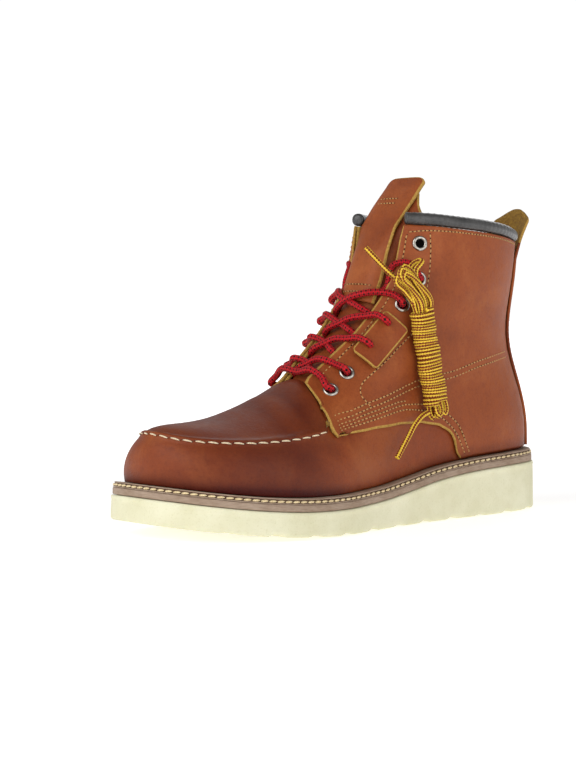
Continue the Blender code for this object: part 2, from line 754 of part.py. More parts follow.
def back_strip():
    table = np.array(STRIP_HALF)
    bm = bmesh.new()
    rows = []
    us = np.linspace(-1, 1, 9)
    for h in [0.012] + UPPER_H[1:]:
        js, d = ring_at(h)
        half = float(smooth(table[:, 0], table[:, 1], h)) * BALL_WIDTH
        push = 0.0
        if h > 0.9:
            push = (h - 0.9) * 10 * 1.8 * MM
        rows.append([off_wall(float(np.interp(u * half, d, js)), h, BACK_LIFT + push) for u in us])
    top = rows[-1]
    mid = len(us) // 2
    yc = top[mid][1]
    zc = top[mid][2]
    half = abs(top[-1][0])
    sag = yc - top[-1][1]
    for f in (0.2, 0.4, 0.6, 0.8, 0.92, 1.0):
        w = half + (TAB_HALF - half) * min(1.0, f * 1.3)
        if f > 0.9:
            w = w * (1 - 0.16 * ((f - 0.86) / 0.14))
        row = []
        for i, u in enumerate(us):
            y = yc + TAB_LEAN * f ** 1.3 - sag * (1 - 0.65 * f) * u * u
            z = zc + TAB_RISE * f * (1.0 - 0.06 * u * u * f) + (top[i][2] - zc) * (1 - f)
            row.append(np.array([w * u, y, z]))
        rows.append(row)
    grid_faces(bm, [[tuple(p) for p in r] for r in rows])
    ob = outward(part("back_strip", bm, TAN), MIDDLE)
    return thicken(ob, STRAP, 1)


back_strip()


# collar binding: a soft roll on the collar's raw edges
def sweep(name, points, ups, outs, section, mat):
    """Closed solid: a section (out, up) carried along points, with flat ends."""
    bm = bmesh.new()
    rows = []
    for p, u, o in zip(points, ups, outs):
        rows.append([tuple(p + o * a + u * b) for a, b in section])
    verts = grid_faces(bm, rows, wrap=True)
    bm.faces.new(verts[0])
    bm.faces.new(verts[-1])
    return part(name, bm, mat)


def binding(name, side):
    js = np.linspace(0.86, 5.97, 16)
    pts = []
    outs = []
    ups = []
    for j in js:
        jj = j if side > 0 else LOOP - j
        n = wall_normal(jj, 0.97)
        n[2] = 0.0
        n /= np.linalg.norm(n)
        pts.append(wall_point(jj, 1.0) + np.array([0, 0, 2 * CLEAR]))
        outs.append(n)
        ups.append(np.array([0.0, 0.0, 1.0]))
    a = BINDING_W / 2
    h = BINDING_H
    section = [(-0.8 * a, 0.0), (0.8 * a, 0.0), (a, 0.3 * h), (0.9 * a, 0.72 * h),
               (0.4 * a, h), (-0.4 * a, h), (-0.9 * a, 0.72 * h), (-a, 0.3 * h)]
    return sweep(name, pts, ups, outs, section, DARK)


binding("collar_binding_outer", 1)
binding("collar_binding_inner", -1)


# eyelets, seven a side, set through the quarters and the wall
EYELET_AT = [
    # column row, height share on it
    (9.824, 0.8327),
    (9.043, 0.8242),
    (8.184, 0.8262),
    (7.500, 0.8262),
    (6.784, 0.8040),
    (5.723, 0.8008),
    (5.482, 0.9271),
]
ON_QUARTER = QUARTER_GAP + LAYER


def side_row(j, side):
    return j if side > 0 else LOOP - j


def frame_at(point, normal):
    z = Vector(normal).normalized()
    x = Vector((0.0, 0.0, 1.0)).cross(z).normalized()
    y = z.cross(x)
    m = Matrix((x, y, z)).transposed().to_4x4()
    m.translation = Vector(point)
    return m


def eyelet(name, m):
    """Rolled flange, turned as one ring, on the leather's face."""
    profile = [
        (EYELET_HOLE_R, 0.30 * MM),
        (2.9 * MM, 1.05 * MM),
        (4.0 * MM, 1.10 * MM),
        (EYELET_R, 0.30 * MM),
    ]
    bm = bmesh.new()
    verts = [bm.verts.new((r, 0.0, z)) for r, z in profile]
    edges = [bm.edges.new((verts[i], verts[(i + 1) % len(verts)])) for i in range(len(verts))]
    bmesh.ops.spin(bm, geom=verts + edges, cent=(0, 0, 0), axis=(0, 0, 1), angle=2 * math.pi,
                   steps=10, use_merge=True)
    bmesh.ops.transform(bm, matrix=m, verts=bm.verts)
    return part(name, bm, NICKEL)


def eyelet_frames(side):
    out = []
    for j, h in EYELET_AT:
        jj = side_row(j, side)
        n = wall_normal(jj, h)
        out.append(frame_at(wall_point(jj, h) + n * (ON_QUARTER + 0.1 * MM), n))
    return out


for side, word in ((1, "outer"), (-1, "inner")):
    for i, m in enumerate(eyelet_frames(side)):
        eyelet("eyelet_%s_%d" % (word, i + 1), m)


# lace-on leather tag over the third and fourth outer eyelets
TAG_CORNERS = [
    # column row, height share
    (7.448, 0.903),
    (6.745, 0.667),
    (8.268, 0.676),
    (8.639, 0.904),
]
TAG_LIFT = ON_QUARTER + 2.6 * MM
TAG_THICK = 1.6 * MM


def tag():
    c = [off_wall(j, h, TAG_LIFT) for j, h in TAG_CORNERS]
    n = np.cross(c[1] - c[0], c[3] - c[0])
    n /= np.linalg.norm(n)
    if n[0] < 0:
        n = -n
    bm = bmesh.new()
    rows = []
    for a in np.linspace(0, 1, 7):
        row = []
        for b in np.linspace(0, 1, 5):
            p = (c[0] * (1 - b) + c[1] * b) * (1 - a) + (c[3] * (1 - b) + c[2] * b) * a
            bulge = 0.9 * MM * (1 - (2 * b - 1) ** 2)
            row.append(tuple(p + n * bulge))
        rows.append(row)
    grid_faces(bm, rows)
    return thicken(outward(part("lace_tag", bm, BROWN), MIDDLE), TAG_THICK, 1)


TAG = tag()


# laces: a bar at the throat and five crossings over the tongue
LACE_R = LACE_D / 2


def tube(name, points, diameter, mat, step=2.8):
    """A cord: a smooth line through its points, bevelled, with filled ends."""
    pts = np.array(points, float)
    d = np.r_[0, np.cumsum(np.linalg.norm(np.diff(pts, axis=0), axis=1))]
    n = max(4, int(round(d[-1] / (step * diameter))) + 1)
    line = smooth(d, pts, np.linspace(0, d[-1], n))
    curve = bpy.data.curves.new(name, "CURVE")
    curve.dimensions = "3D"
    curve.bevel_depth = diameter / 2
    curve.bevel_resolution = 2
    curve.use_fill_caps = True
    spline = curve.splines.new("POLY")
    spline.points.add(n - 1)
    for i, p in enumerate(line):
        spline.points[i].co = (*p, 1.0)
    temp = bpy.data.objects.new(name + "_curve", curve)
    bpy.context.scene.collection.objects.link(temp)
    deps = bpy.context.evaluated_depsgraph_get()
    mesh = bpy.data.meshes.new_from_object(temp.evaluated_get(deps))
    bpy.data.objects.remove(temp, do_unlink=True)
    bm = bmesh.new()
    bm.from_mesh(mesh)
    bpy.data.meshes.remove(mesh)
    return part(name, bm, mat)


def on_tongue(row, x, lift):
    """A point over the tongue's middle stretch, above the strip where it has one."""
    strip = STRIP_GAP + STRAP if row > STRIP_FROM - 0.3 else 0.0
    return tongue_point(row, x, lift + strip)


CROSSINGS = [
    # lacing row, tongue row of its middle, step to its ends, facing columns over and under
    (2, 1.24, 0.28, 9.26, 9.71),
    (3, 2.19, 0.31, 8.50, 8.97),
    (4, 3.09, 0.30, 7.83, 8.27),
    (5, 3.94, 0.31, 7.33, 7.69),
]
# the sixth row goes under the tongue's strip: column at the facing's edge, tongue row there,
# height of the ends over the tongue on the outer and the inner side
UNDER_STRIP = (6, 6.74, 4.62, 5.2 * MM, 8.6 * MM)


def strand(k, mid, step, over_j, under_j, side):
    """From over one eyelet, across its facing's edge and the tongue, to the far edge."""
    j, h = EYELET_AT[k - 1]
    over = ON_QUARTER + LACE_R + 1.2 * MM
    if side > 0 and k in (3, 4):
        hold = TAG_LIFT + 0.9 * MM + TAG_THICK + LACE_R + 1.4 * MM
    else:
        hold = ON_QUARTER + 1.25 * MM + LACE_R + 1.1 * MM
    ends = [off_wall(side_row(j, side), h, hold)]
    lift = hold - 0.2 * MM
    ends.append(off_wall(side_row((j + over_j) / 2, side), (h + 1.0) / 2, lift))
    ends.append(off_wall(side_row(over_j, side), 1.0, over + 2.1 * MM))
    far = raw_point(under_j, 1.0)[0]
    lift = LACE_R + 1.4 * MM
    ends.append(on_tongue(mid + 0.45 * step, side * far * 0.45, lift + 0.9 * MM))
    ends.append(on_tongue(mid, 0.0, lift))
    ends.append(on_tongue(mid - 0.8 * step, -side * (far - 5.0 * MM), lift + 0.3 * MM))
    return ends


def join(name, obs, mat):
    """Union of crossing tubes as one closed solid."""
    base = obs[0]
    for i, other in enumerate(obs[1:]):
        mod = base.modifiers.new("union", "BOOLEAN")
        mod.operation = "UNION"
        mod.solver = "EXACT"
        mod.object = other
        deps = bpy.context.evaluated_depsgraph_get()
        mesh = bpy.data.meshes.new_from_object(base.evaluated_get(deps))
        base.modifiers.clear()
        base.data = mesh
        bpy.data.objects.remove(other, do_unlink=True)
    bm = bmesh.new()
    bm.from_mesh(base.data)
    bpy.data.objects.remove(base, do_unlink=True)
    return part(name, bm, mat)


# the bar runs from one first eyelet to the other
j, h = EYELET_AT[0]
over = ON_QUARTER + 1.25 * MM + LACE_R + 0.4 * MM
bar = []
for side in (1, -1):
    ends = [
        off_wall(side_row(j, side), h, over),
        off_wall(side_row((j + 9.7) / 2, side), (1 + h) / 2, over),
        off_wall(side_row(9.72, side), 1.0, over - 0.3 * MM),
    ]
    bar.append(ends)
middle = tongue_point(0.76, 0.0, LACE_R + 3.2 * MM)
tube("lace_bar", bar[0] + [middle] + bar[1][::-1], LACE_D, RED)
for k, mid, step, over_j, under_j in CROSSINGS:
    a = tube("strand_a", strand(k, mid, step, over_j, under_j, 1), LACE_D, RED)
    b = tube("strand_b", strand(k, mid, step, over_j, under_j, -1), LACE_D, RED)
    join("lace_crossing_%d" % k, [a, b], RED)


# the sixth row, hidden under the strip in the middle: one strand a side
for side, word in ((1, "outer"), (-1, "inner")):
    k, edge, row, low_outer, low_inner = UNDER_STRIP
    j, h = EYELET_AT[k - 1]
    hold = ON_QUARTER + 1.25 * MM + LACE_R + 1.1 * MM
    far = abs(raw_point(edge, 1.0)[0])
    strip = float(np.interp(row, range(len(FRAMES)), [f[3] for f in FRAMES]))
    ends = [
        off_wall(side_row(j, side), h, hold),
        off_wall(side_row((j + edge) / 2, side), (h + 1.0) / 2, hold + SPARE_D + 0.6 * MM),
        off_wall(side_row(edge, side), 1.0, hold + 0.5 * SPARE_D),
        tongue_point(row, side * (strip + 2.8 * MM), low_outer if side > 0 else low_inner),
    ]
    tube("lace_sixth_row_%s" % word, ends, LACE_D, RED)


# spare lace: a wound hank hung on the sixth crossing, and its free ends
HANK_W = 14.5 * MM
HANK_D = 11.0 * MM
HANK_TOP = Vector(off_wall(6.20, 0.700, ON_QUARTER + HANK_D / 2 + 1.9 * MM))
HANK_END = Vector(off_wall(5.07, 0.215, ON_QUARTER + HANK_D / 2 + 1.9 * MM))


def hank():
    """An extruded outline with round ends, along the hank's own axis."""
    axis = (HANK_END - HANK_TOP)
    length = axis.length
    z = -axis.normalized()
    x = (Vector((1.0, 0.0, 0.0)) - z * z.x).normalized()
    y = z.cross(x)
    m = Matrix((x, y, z)).transposed().to_4x4()
    m.translation = (HANK_TOP + HANK_END) / 2
    r = HANK_W / 2
    half = length / 2 - r * 0.55
    outline = []
    for i in range(7):
        t = math.pi * i / 6
        outline.append((r * math.cos(t), half + 0.55 * r * math.sin(t)))
    for i in range(7):
        t = math.pi + math.pi * i / 6
        outline.append((r * math.cos(t), -half + 0.55 * r * math.sin(t)))
    bm = bmesh.new()
    verts = [bm.verts.new((-HANK_D / 2, a, b)) for a, b in outline]
    face = bm.faces.new(verts)
    res = bmesh.ops.extrude_face_region(bm, geom=[face])
    moved = [v for v in res["geom"] if isinstance(v, bmesh.types.BMVert)]
    bmesh.ops.translate(bm, vec=(HANK_D, 0, 0), verts=moved)
    bmesh.ops.transform(bm, matrix=m, verts=bm.verts)
    ob = part("spare_lace_hank", bm, YELLOW)
    mod = ob.modifiers.new("soft_edge", "BEVEL")
    mod.width = 3.2 * MM
    mod.segments = 2
    mod.limit_method = "ANGLE"
    mod.angle_limit = math.radians(50)
    return ob


hank()
# points in mm, from the hank outward; scene.py repeats them
SPARE_END_UPPER = [
    (40.2, -97.6, 130.3), (39.6, -99.3, 135.5), (37.9, -100.9, 139.7), (32.9, -103.8, 145.1),
    (27.9, -107.3, 150.4), (22.4, -111.6, 157.6), (17.4, -115.9, 164.8),
]
SPARE_END_LOWER = [
    (44.7, -90.0, 66.3), (45.1, -95.2, 64.6), (45.8, -101.4, 60.6), (46.6, -109.2, 51.8),
    (47.6, -118.5, 41.2),
]
SPARE_LOOP = [
    (39.8, -93.8, 130.2), (40.2, -94.6, 137.0), (39.2, -95.4, 146.0), (38.2, -94.0, 151.9),
    (38.6, -91.0, 154.9), (37.2, -88.5, 156.6), (35.2, -87.4, 157.2), (33.0, -87.4, 156.9),
    (30.8, -88.7, 155.5), (30.2, -91.0, 153.4), (31.2, -92.6, 148.5), (33.6, -92.4, 141.5),
    (36.4, -91.8, 134.6), (38.6, -90.2, 130.2),
]
tube("spare_end_upper", np.array(SPARE_END_UPPER) * MM, SPARE_D, YELLOW)
tube("spare_end_lower", np.array(SPARE_END_LOWER) * MM, SPARE_D, YELLOW)
tube("spare_loop", np.array(SPARE_LOOP) * MM, SPARE_D, YELLOW, step=1.1)

print("parts", len(PARTS.objects))
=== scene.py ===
import math

import bpy
import bmesh
import numpy as np
from mathutils import Matrix, Vector


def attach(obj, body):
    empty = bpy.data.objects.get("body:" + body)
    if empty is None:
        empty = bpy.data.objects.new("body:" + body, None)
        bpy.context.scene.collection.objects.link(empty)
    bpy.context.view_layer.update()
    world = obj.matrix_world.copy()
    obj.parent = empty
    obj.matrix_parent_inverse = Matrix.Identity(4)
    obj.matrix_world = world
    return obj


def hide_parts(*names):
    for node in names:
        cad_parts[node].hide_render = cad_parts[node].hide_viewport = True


# Wedge sole work boot, left foot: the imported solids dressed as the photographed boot.
# Metres, +Z up, toe toward -Y, outer side toward +X.

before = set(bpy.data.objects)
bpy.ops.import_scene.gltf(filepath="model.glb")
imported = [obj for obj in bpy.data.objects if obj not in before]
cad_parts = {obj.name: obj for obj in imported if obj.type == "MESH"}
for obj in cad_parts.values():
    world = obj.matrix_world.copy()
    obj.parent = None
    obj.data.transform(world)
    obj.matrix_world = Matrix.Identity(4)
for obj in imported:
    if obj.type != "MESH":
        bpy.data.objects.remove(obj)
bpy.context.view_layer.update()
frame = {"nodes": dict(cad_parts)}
MM = 0.001

# Camera
# Where the photo was taken from, worked out from the boot's outline: low, 49 degrees round
# from the toe to the outer side, 1.24 m away, with a 96 mm lens.
CAMERA_EYE = (0.91179, -0.95780, 0.14825)
CAMERA_BACK = (0.75254, -0.65643, 0.05268)
CAMERA_RIGHT = (0.65756, 0.75340, 0.0)
LENS_MM = 96.247
SENSOR_MM = 36.0


def place_camera():
    back = Vector(CAMERA_BACK).normalized()
    right = Vector(CAMERA_RIGHT).normalized()
    up = back.cross(right)
    lens = bpy.data.cameras.new("photo_camera")
    lens.lens = LENS_MM
    lens.sensor_width = SENSOR_MM
    ob = bpy.data.objects.new("photo_camera", lens)
    bpy.context.scene.collection.objects.link(ob)
    ob.matrix_world = Matrix((right, up, back)).transposed().to_4x4()
    ob.location = CAMERA_EYE
    bpy.context.scene.camera = ob


place_camera()

# Outsole
# A wedge of cream foamed rubber moulded in one piece, its flat tread cut by shallow cross
# grooves, its side ground smooth; a thin brighter skin shows along its upper edge.
SOLE_LENGTH = 306.0 * MM        # heel back to toe tip, along the floor
BALL_WIDTH = 115.0 * MM         # sole's width at the ball
HEEL_SEAT = 35.0 * MM           # origin to the sole's back end
HEEL_STACK = 30.0 * MM          # wedge thickness under the heel
TREAD_STACK = 14.3 * MM         # wedge thickness under the ball and toe
TOE_SPRING = 10.0 * MM          # rise of the wedge's tip off the floor
MIDSOLE = 4.4 * MM
WELT = 3.4 * MM
CLEAR = 0.3 * MM                # between two pieces
WALL = 2.2 * MM                 # vamp and quarter lining, one leather wall
LEDGE = 8.0 * MM                # sole edge to the upper's feather line
GROOVE = 2.0 * MM               # depth of the tread's cross grooves
LUGS = 12                       # lugs along the tread
# share: of SOLE_LENGTH from the heel; outer, inner: of BALL_WIDTH from the centre line
SOLE_PLAN = [
    # share, outer, inner
    (0.000, 0.000, 0.000),
    (0.012, 0.150, 0.150),
    (0.045, 0.245, 0.240),
    (0.100, 0.305, 0.300),
    (0.170, 0.335, 0.325),
    (0.260, 0.345, 0.320),
    (0.360, 0.355, 0.300),
    (0.460, 0.385, 0.300),
    (0.560, 0.435, 0.345),
    (0.650, 0.485, 0.420),
    (0.730, 0.500, 0.475),
    (0.810, 0.470, 0.500),
    (0.880, 0.400, 0.475),
    (0.940, 0.290, 0.420),
    (0.980, 0.140, 0.320),
    (1.000, -0.080, 0.080),
]
WEDGE = [
    # share, fullness (0 tread stack, 1 heel stack)
    (0.00, 1.00),
    (0.15, 0.95),
    (0.28, 0.80),
    (0.36, 0.62),
    (0.44, 0.36),
    (0.52, 0.15),
    (0.60, 0.05),
    (0.70, 0.00),
    (1.00, 0.00),
]


def smooth(xs, ys, x):
    """Smooth curve through the rows of a table column."""
    xs = np.asarray(xs, float)
    ys = np.asarray(ys, float)
    x = np.asarray(x, float)
    slope = np.gradient(ys, xs, axis=0)
    i = np.clip(np.searchsorted(xs, x, side="right") - 1, 0, len(xs) - 2)
    h = xs[i + 1] - xs[i]
    t = (x - xs[i]) / h
    if ys.ndim > 1:
        h = np.asarray(h)[..., None]
        t = np.asarray(t)[..., None]
    a = 2 * t ** 3 - 3 * t ** 2 + 1
    b = t ** 3 - 2 * t ** 2 + t
    c = -2 * t ** 3 + 3 * t ** 2
    d = t ** 3 - t ** 2
    return a * ys[i] + b * h * slope[i] + c * ys[i + 1] + d * h * slope[i + 1]


def distance(points):
    """Distance along a line of points, from its start."""
    return np.r_[0, np.cumsum(np.linalg.norm(np.diff(points, axis=0), axis=1))]


def plan_loop():
    rows = np.array(SOLE_PLAN)
    outer = np.c_[rows[:, 1] * BALL_WIDTH, HEEL_SEAT - rows[:, 0] * SOLE_LENGTH]
    inner = np.c_[-rows[:, 2] * BALL_WIDTH, HEEL_SEAT - rows[:, 0] * SOLE_LENGTH]
    inner[-1] = outer[-1]
    ring = np.vstack([outer, inner[::-1][1:-1]])
    n = len(ring)
    far = np.vstack([ring[-4:], ring, ring[:5]])
    step = distance(far)
    dense = []
    for i in range(4, 4 + n):
        q = np.linspace(step[i], step[i + 1], 40, endpoint=False)
        dense.append(smooth(step[i - 3:i + 5], far[i - 3:i + 5], q))
    return np.vstack(dense)


PLAN = plan_loop()
_t = np.roll(PLAN, -3, axis=0) - np.roll(PLAN, 3, axis=0)
PLAN_OUT = np.c_[-_t[:, 1], _t[:, 0]] / np.linalg.norm(_t, axis=1)[:, None]
if (PLAN_OUT[0] @ (PLAN[0] - PLAN.mean(0))) < 0:
    PLAN_OUT = -PLAN_OUT


def share_of(y):
    return (HEEL_SEAT - np.asarray(y)) / SOLE_LENGTH


def inset_loop(inset):
    """The sole's outline moved inward."""
    return PLAN - PLAN_OUT * inset


def halves(loop):
    """Outer and inner side of a loop, heel to toe."""
    tip = int(np.argmin(loop[:, 1]))
    back = int(np.argmax(loop[:, 1]))
    n = len(loop)
    k1 = (tip - back) % n
    outer = loop[(back + np.arange(k1 + 1)) % n]
    inner = loop[(back - np.arange(n - k1 + 1)) % n]
    if outer[k1 // 2, 0] < 0:
        outer, inner = inner, outer
    return outer, inner


def wedge_bottom(y):
    return TOE_SPRING * np.clip((share_of(y) - 0.62) / 0.38, 0, 1) ** 2


def wedge_top(y):
    rows = np.array(WEDGE)
    full = smooth(rows[:, 0], rows[:, 1], np.clip(share_of(y), 0, 1))
    return wedge_bottom(y) + TREAD_STACK + (HEEL_STACK - TREAD_STACK) * full


def feather_z(y):
    return wedge_top(y) + MIDSOLE + WELT


def stations(n, marks=()):
    """Shares from heel to toe, close together at the rounded ends."""
    t = (1 - np.cos(np.linspace(0, math.pi, n))) / 2
    t = 0.5 * t + 0.5 * (0.5 - 0.5 * np.cos(np.pi * t))
    if len(marks):
        inside = np.array(marks)
        keep = [v for v in t if v < 0.03 or v > 0.97 or np.min(np.abs(inside - v)) > 0.008]
        t = np.sort(np.r_[keep, inside])
    return t


def rim(loop, ts):
    """Closed ring of points at stations ts: heel, outer side, toe, inner side."""
    outer, inner = halves(loop)
    y0 = outer[0, 1]
    y1 = outer[-1, 1]
    ys = y0 + (y1 - y0) * ts
    xo = np.interp(-ys, -outer[:, 1], outer[:, 0])
    xi = np.interp(-ys, -inner[:, 1], inner[:, 0])
    ring = [(xo[0], ys[0])]
    ring += [(x, y) for x, y in zip(xo[1:-1], ys[1:-1])]
    ring += [(xo[-1], ys[-1])]
    ring += [(x, y) for x, y in zip(xi[1:-1][::-1], ys[1:-1][::-1])]
    return np.array(ring)


def tone(code):
    """An sRGB hex colour as linear red, green, blue and alpha."""
    parts = [int(code[i:i + 2], 16) / 255.0 for i in (0, 2, 4)]
    return (*[c / 12.92 if c <= 0.04045 else ((c + 0.055) / 1.055) ** 2.4 for c in parts], 1.0)


def add(mat, kind, settings=None, links=None):
    """One node of a material, with its settings and what feeds its inputs."""
    tree = mat.node_tree
    made = tree.nodes.new(kind)
    for key, value in (settings or {}).items():
        if isinstance(key, str) and key[0].islower():
            setattr(made, key, value)
        else:
            made.inputs[key].default_value = value
    for key, source in (links or {}).items():
        tree.links.new(source, made.inputs[key])
    return made


def blank(name):
    """A new material with its shader; the rest is added to it."""
    mat = bpy.data.materials.new(name)
    mat.use_nodes = True
    shader = mat.node_tree.nodes["Principled BSDF"]
    where = add(mat, "ShaderNodeTexCoord").outputs["Object"]
    return mat, shader, where


def noise(mat, where, size_mm, detail=4.0, rough=0.55, twist=0.0):
    """Cloudy noise whose blobs are about size_mm across."""
    return add(mat, "ShaderNodeTexNoise", {
        "Scale": 1000.0 / size_mm,
        "Detail": detail,
        "Roughness": rough,
        "Distortion": twist,
    }, {"Vector": where}).outputs["Fac"]


def ramp(mat, value, stops):
    """A value turned into colours or greys between stops of (position, hex colour)."""
    made = add(mat, "ShaderNodeValToRGB", None, {"Fac": value})
    bar = made.color_ramp
    while len(bar.elements) < len(stops):
        bar.elements.new(0.5)
    for spot, (at, code) in zip(bar.elements, stops):
        spot.position = at
        spot.color = tone(code)
    return made.outputs["Color"]


def mix(mat, how, share, a, b):
    """Two colours mixed; share is a number or a value from another node."""
    made = add(mat, "ShaderNodeMix", {"data_type": "RGBA", "blend_type": how})
    tree = mat.node_tree
    for slot, source in ((0, share), (6, a), (7, b)):
        if isinstance(source, (int, float, tuple)):
            made.inputs[slot].default_value = source
        else:
            tree.links.new(source, made.inputs[slot])
    return made.outputs[2]


def bumps(mat, shader, layers):
    """Height layers (value, depth in mm) as one normal."""
    normal = None
    for value, depth in layers:
        made = add(mat, "ShaderNodeBump", {"Distance": depth * MM, "Strength": 1.0}, {"Height": value})
        if normal is not None:
            mat.node_tree.links.new(normal, made.inputs["Normal"])
        normal = made.outputs["Normal"]
    mat.node_tree.links.new(normal, shader.inputs["Normal"])


def surface(mat, shader, colour, rough):
    """Colour from a node, with one roughness."""
    mat.node_tree.links.new(colour, shader.inputs["Base Color"])
    shader.inputs["Roughness"].default_value = rough


def cream_foam_rubber():
    """Foamed rubber: matte and cream, with soft clouds and fine darker specks."""
    mat, shader, where = blank("cream foam rubber")
    cloud = noise(mat, where, 22.0, 5.0, 0.6)
    colour = ramp(mat, cloud, [(0.3, "d9d5b2"), (0.7, "e8e5c8")])
    speck = noise(mat, where, 1.1, 3.0, 0.7)
    dull = ramp(mat, speck, [(0.3, "d9d5b4"), (0.44, "ffffff")])
    colour = mix(mat, "MULTIPLY", 0.35, colour, dull)
    surface(mat, shader, colour, 0.62)
    shader.inputs["Subsurface Weight"].default_value = 0.06
    shader.inputs["Subsurface Radius"].default_value = (0.004, 0.003, 0.002)
    bumps(mat, shader, [(noise(mat, where, 9.0, 3.0), 0.12), (noise(mat, where, 0.7, 4.0, 0.7), 0.05)])
    return mat


def skin(bm, rows, closed=False):
    """Faces between neighbouring rows of points, row by row."""
    made = []
    for a, b in zip(rows[:-1], rows[1:]):
        n = len(a)
        made.append([bm.faces.new([a[i], a[(i + 1) % n], b[(i + 1) % n], b[i]])
                     for i in range(n if closed else n - 1)])
    return made


def smooth_object(name, bm, mats):
    """A smooth-shaded mesh object from bmesh, with its materials."""
    mesh = bpy.data.meshes.new(name)
    bm.to_mesh(mesh)
    bm.free()
    ob = bpy.data.objects.new(name, mesh)
    bpy.context.scene.collection.objects.link(ob)
    for mat in mats:
        mesh.materials.append(mat)
    for poly in mesh.polygons:
        poly.use_smooth = True
    return ob


def solid_object(name, bm, mats):
    """The same, its doubled points merged and its normals outward."""
    bmesh.ops.remove_doubles(bm, verts=bm.verts, dist=1e-6)
    bmesh.ops.recalc_face_normals(bm, faces=bm.faces)
    return smooth_object(name, bm, mats)


def ring_solid(name, levels, ts, mats, hole=False):
    """Closed solid from rings (loop, height function), capped by strips across."""
    bm = bmesh.new()
    rings = []
    for loop, height in levels:
        ring = rim(loop, ts)
        rings.append([bm.verts.new((x, y, height(y, i))) for i, (x, y) in enumerate(ring)])
    skin(bm, rings + rings[:1] if hole else rings, True)
    if not hole:
        n = len(rings[0])
        half = n // 2
        for ring in (rings[0], rings[-1]):
            bm.faces.new([ring[0], ring[1], ring[n - 1]])
            for i in range(1, half - 1):
                bm.faces.new([ring[i], ring[i + 1], ring[n - i - 1], ring[n - i]])
            bm.faces.new([ring[half - 1], ring[half], ring[half + 1]])
    return solid_object(name, bm, mats)


# a cross groove from side to side: share of the sole's length, share of its depth
GROOVE_PROFILE = [(-0.020, 0.0), (-0.013, 0.35), (-0.005, 0.95), (0.004, 0.95), (0.010, 0.40), (0.016, 0.0)]
# side of the wedge in mm: inset, height over its bottom, share of the groove there
SIDE_LOW = [(1.3, 0.0, 1.0), (0.5, 0.3, 1.0), (0.0, 1.1, 1.0), (0.0, 2.4, 0.8), (0.05, 5.0, 0.0)]
# and inset, depth under its top
SIDE_HIGH = [(0.3, 5.0), (0.45, 2.3), (0.2, 1.9), (0.25, 0.7), (0.7, 0.15), (1.5, 0.0)]


def outsole():
    pitch = 1.0 / LUGS
    seat = HEEL_SEAT / SOLE_LENGTH
    cuts = []
    depth_at = {}
    for i in range(LUGS):
        c = seat + (i - 0.5) * pitch
        if not 0.04 < c < 0.96:
            continue
        soft = 0.62 + 0.25 * math.sin(2.3 * i)
        for d, deep in GROOVE_PROFILE:
            cuts.append(c + d)
            depth_at[round(c + d, 5)] = deep * soft
    ts = stations(150, cuts)
    deep = np.array([depth_at.get(round(t, 5), 0.0) for t in ts])
    deep = np.r_[deep, deep[1:-1][::-1]]

    def level(up, share):
        return lambda y, i: wedge_bottom(y) + up * MM + GROOVE * share * deep[i]

    def under_top(down):
        return lambda y, i: wedge_top(y) - down * MM

    levels = [(inset_loop(inset * MM), level(up, share)) for inset, up, share in SIDE_LOW]
    levels += [(inset_loop(inset * MM), under_top(down)) for inset, down in SIDE_HIGH]
    ob = ring_solid("outsole_wedge", levels, ts, [cream_foam_rubber()])
    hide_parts("outsole")
    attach(ob, "root")


outsole()

# Midsole and welt
# Two taupe layers of pressed leatherboard: the midsole is cemented to the wedge, the welt
# lies on it and carries the upper. Tan lockstitches run in the groove round its edge.


def taupe_leatherboard():
    """Pressed fibres: matte taupe, faint layers along the edge."""
    mat, shader, where = blank("taupe leatherboard")
    stretch = add(mat, "ShaderNodeMapping", {"Scale": (0.15, 0.15, 1.0)}, {"Vector": where}).outputs[0]
    layers = noise(mat, stretch, 0.7, 3.0, 0.6)
    colour = ramp(mat, layers, [(0.25, "927a68"), (0.5, "a48e7b"), (0.75, "b09b89")])
    cloud = noise(mat, where, 14.0, 4.0)
    colour = mix(mat, "MULTIPLY", 0.5, colour, ramp(mat, cloud, [(0.35, "cdbfae"), (0.65, "ffffff")]))
    surface(mat, shader, colour, 0.72)
    bumps(mat, shader, [(layers, 0.10), (noise(mat, where, 0.5, 3.0), 0.05)])
    return mat


def two_tone(name, size_mm, detail, dark, lit, rough):
    """A matte material whose colour clouds between two tones."""
    mat, shader, where = blank(name)
    colour = ramp(mat, noise(mat, where, size_mm, detail), [(0.3, dark), (0.7, lit)])
    surface(mat, shader, colour, rough)
    return mat, shader, where


def thread(name, lit, dark):
    """Twisted waxed thread: two tones in fine clouds."""
    mat, shader, where = blank(name)
    twist = noise(mat, where, 0.45, 2.0)
    colour = ramp(mat, twist, [(0.35, dark), (0.6, lit)])
    surface(mat, shader, colour, 0.45)
    bumps(mat, shader, [(twist, 0.06)])
    return mat


# painted shade: dark brown for the welt's stitch groove, where shade falls under the stitches
GROOVE_SHADE = two_tone("painted shade in the stitch groove", 2.0, 3.0, "4a3527", "6b503c", 0.8)[0]
# painted shade of a needle hole where a thread goes through leather, drawn as a small dark disc
HOLE_SHADE = two_tone("painted shade of a needle hole", 0.6, 2.0, "1d0f09", "3a1f12", 0.9)[0]


STITCH_SIDES = 6


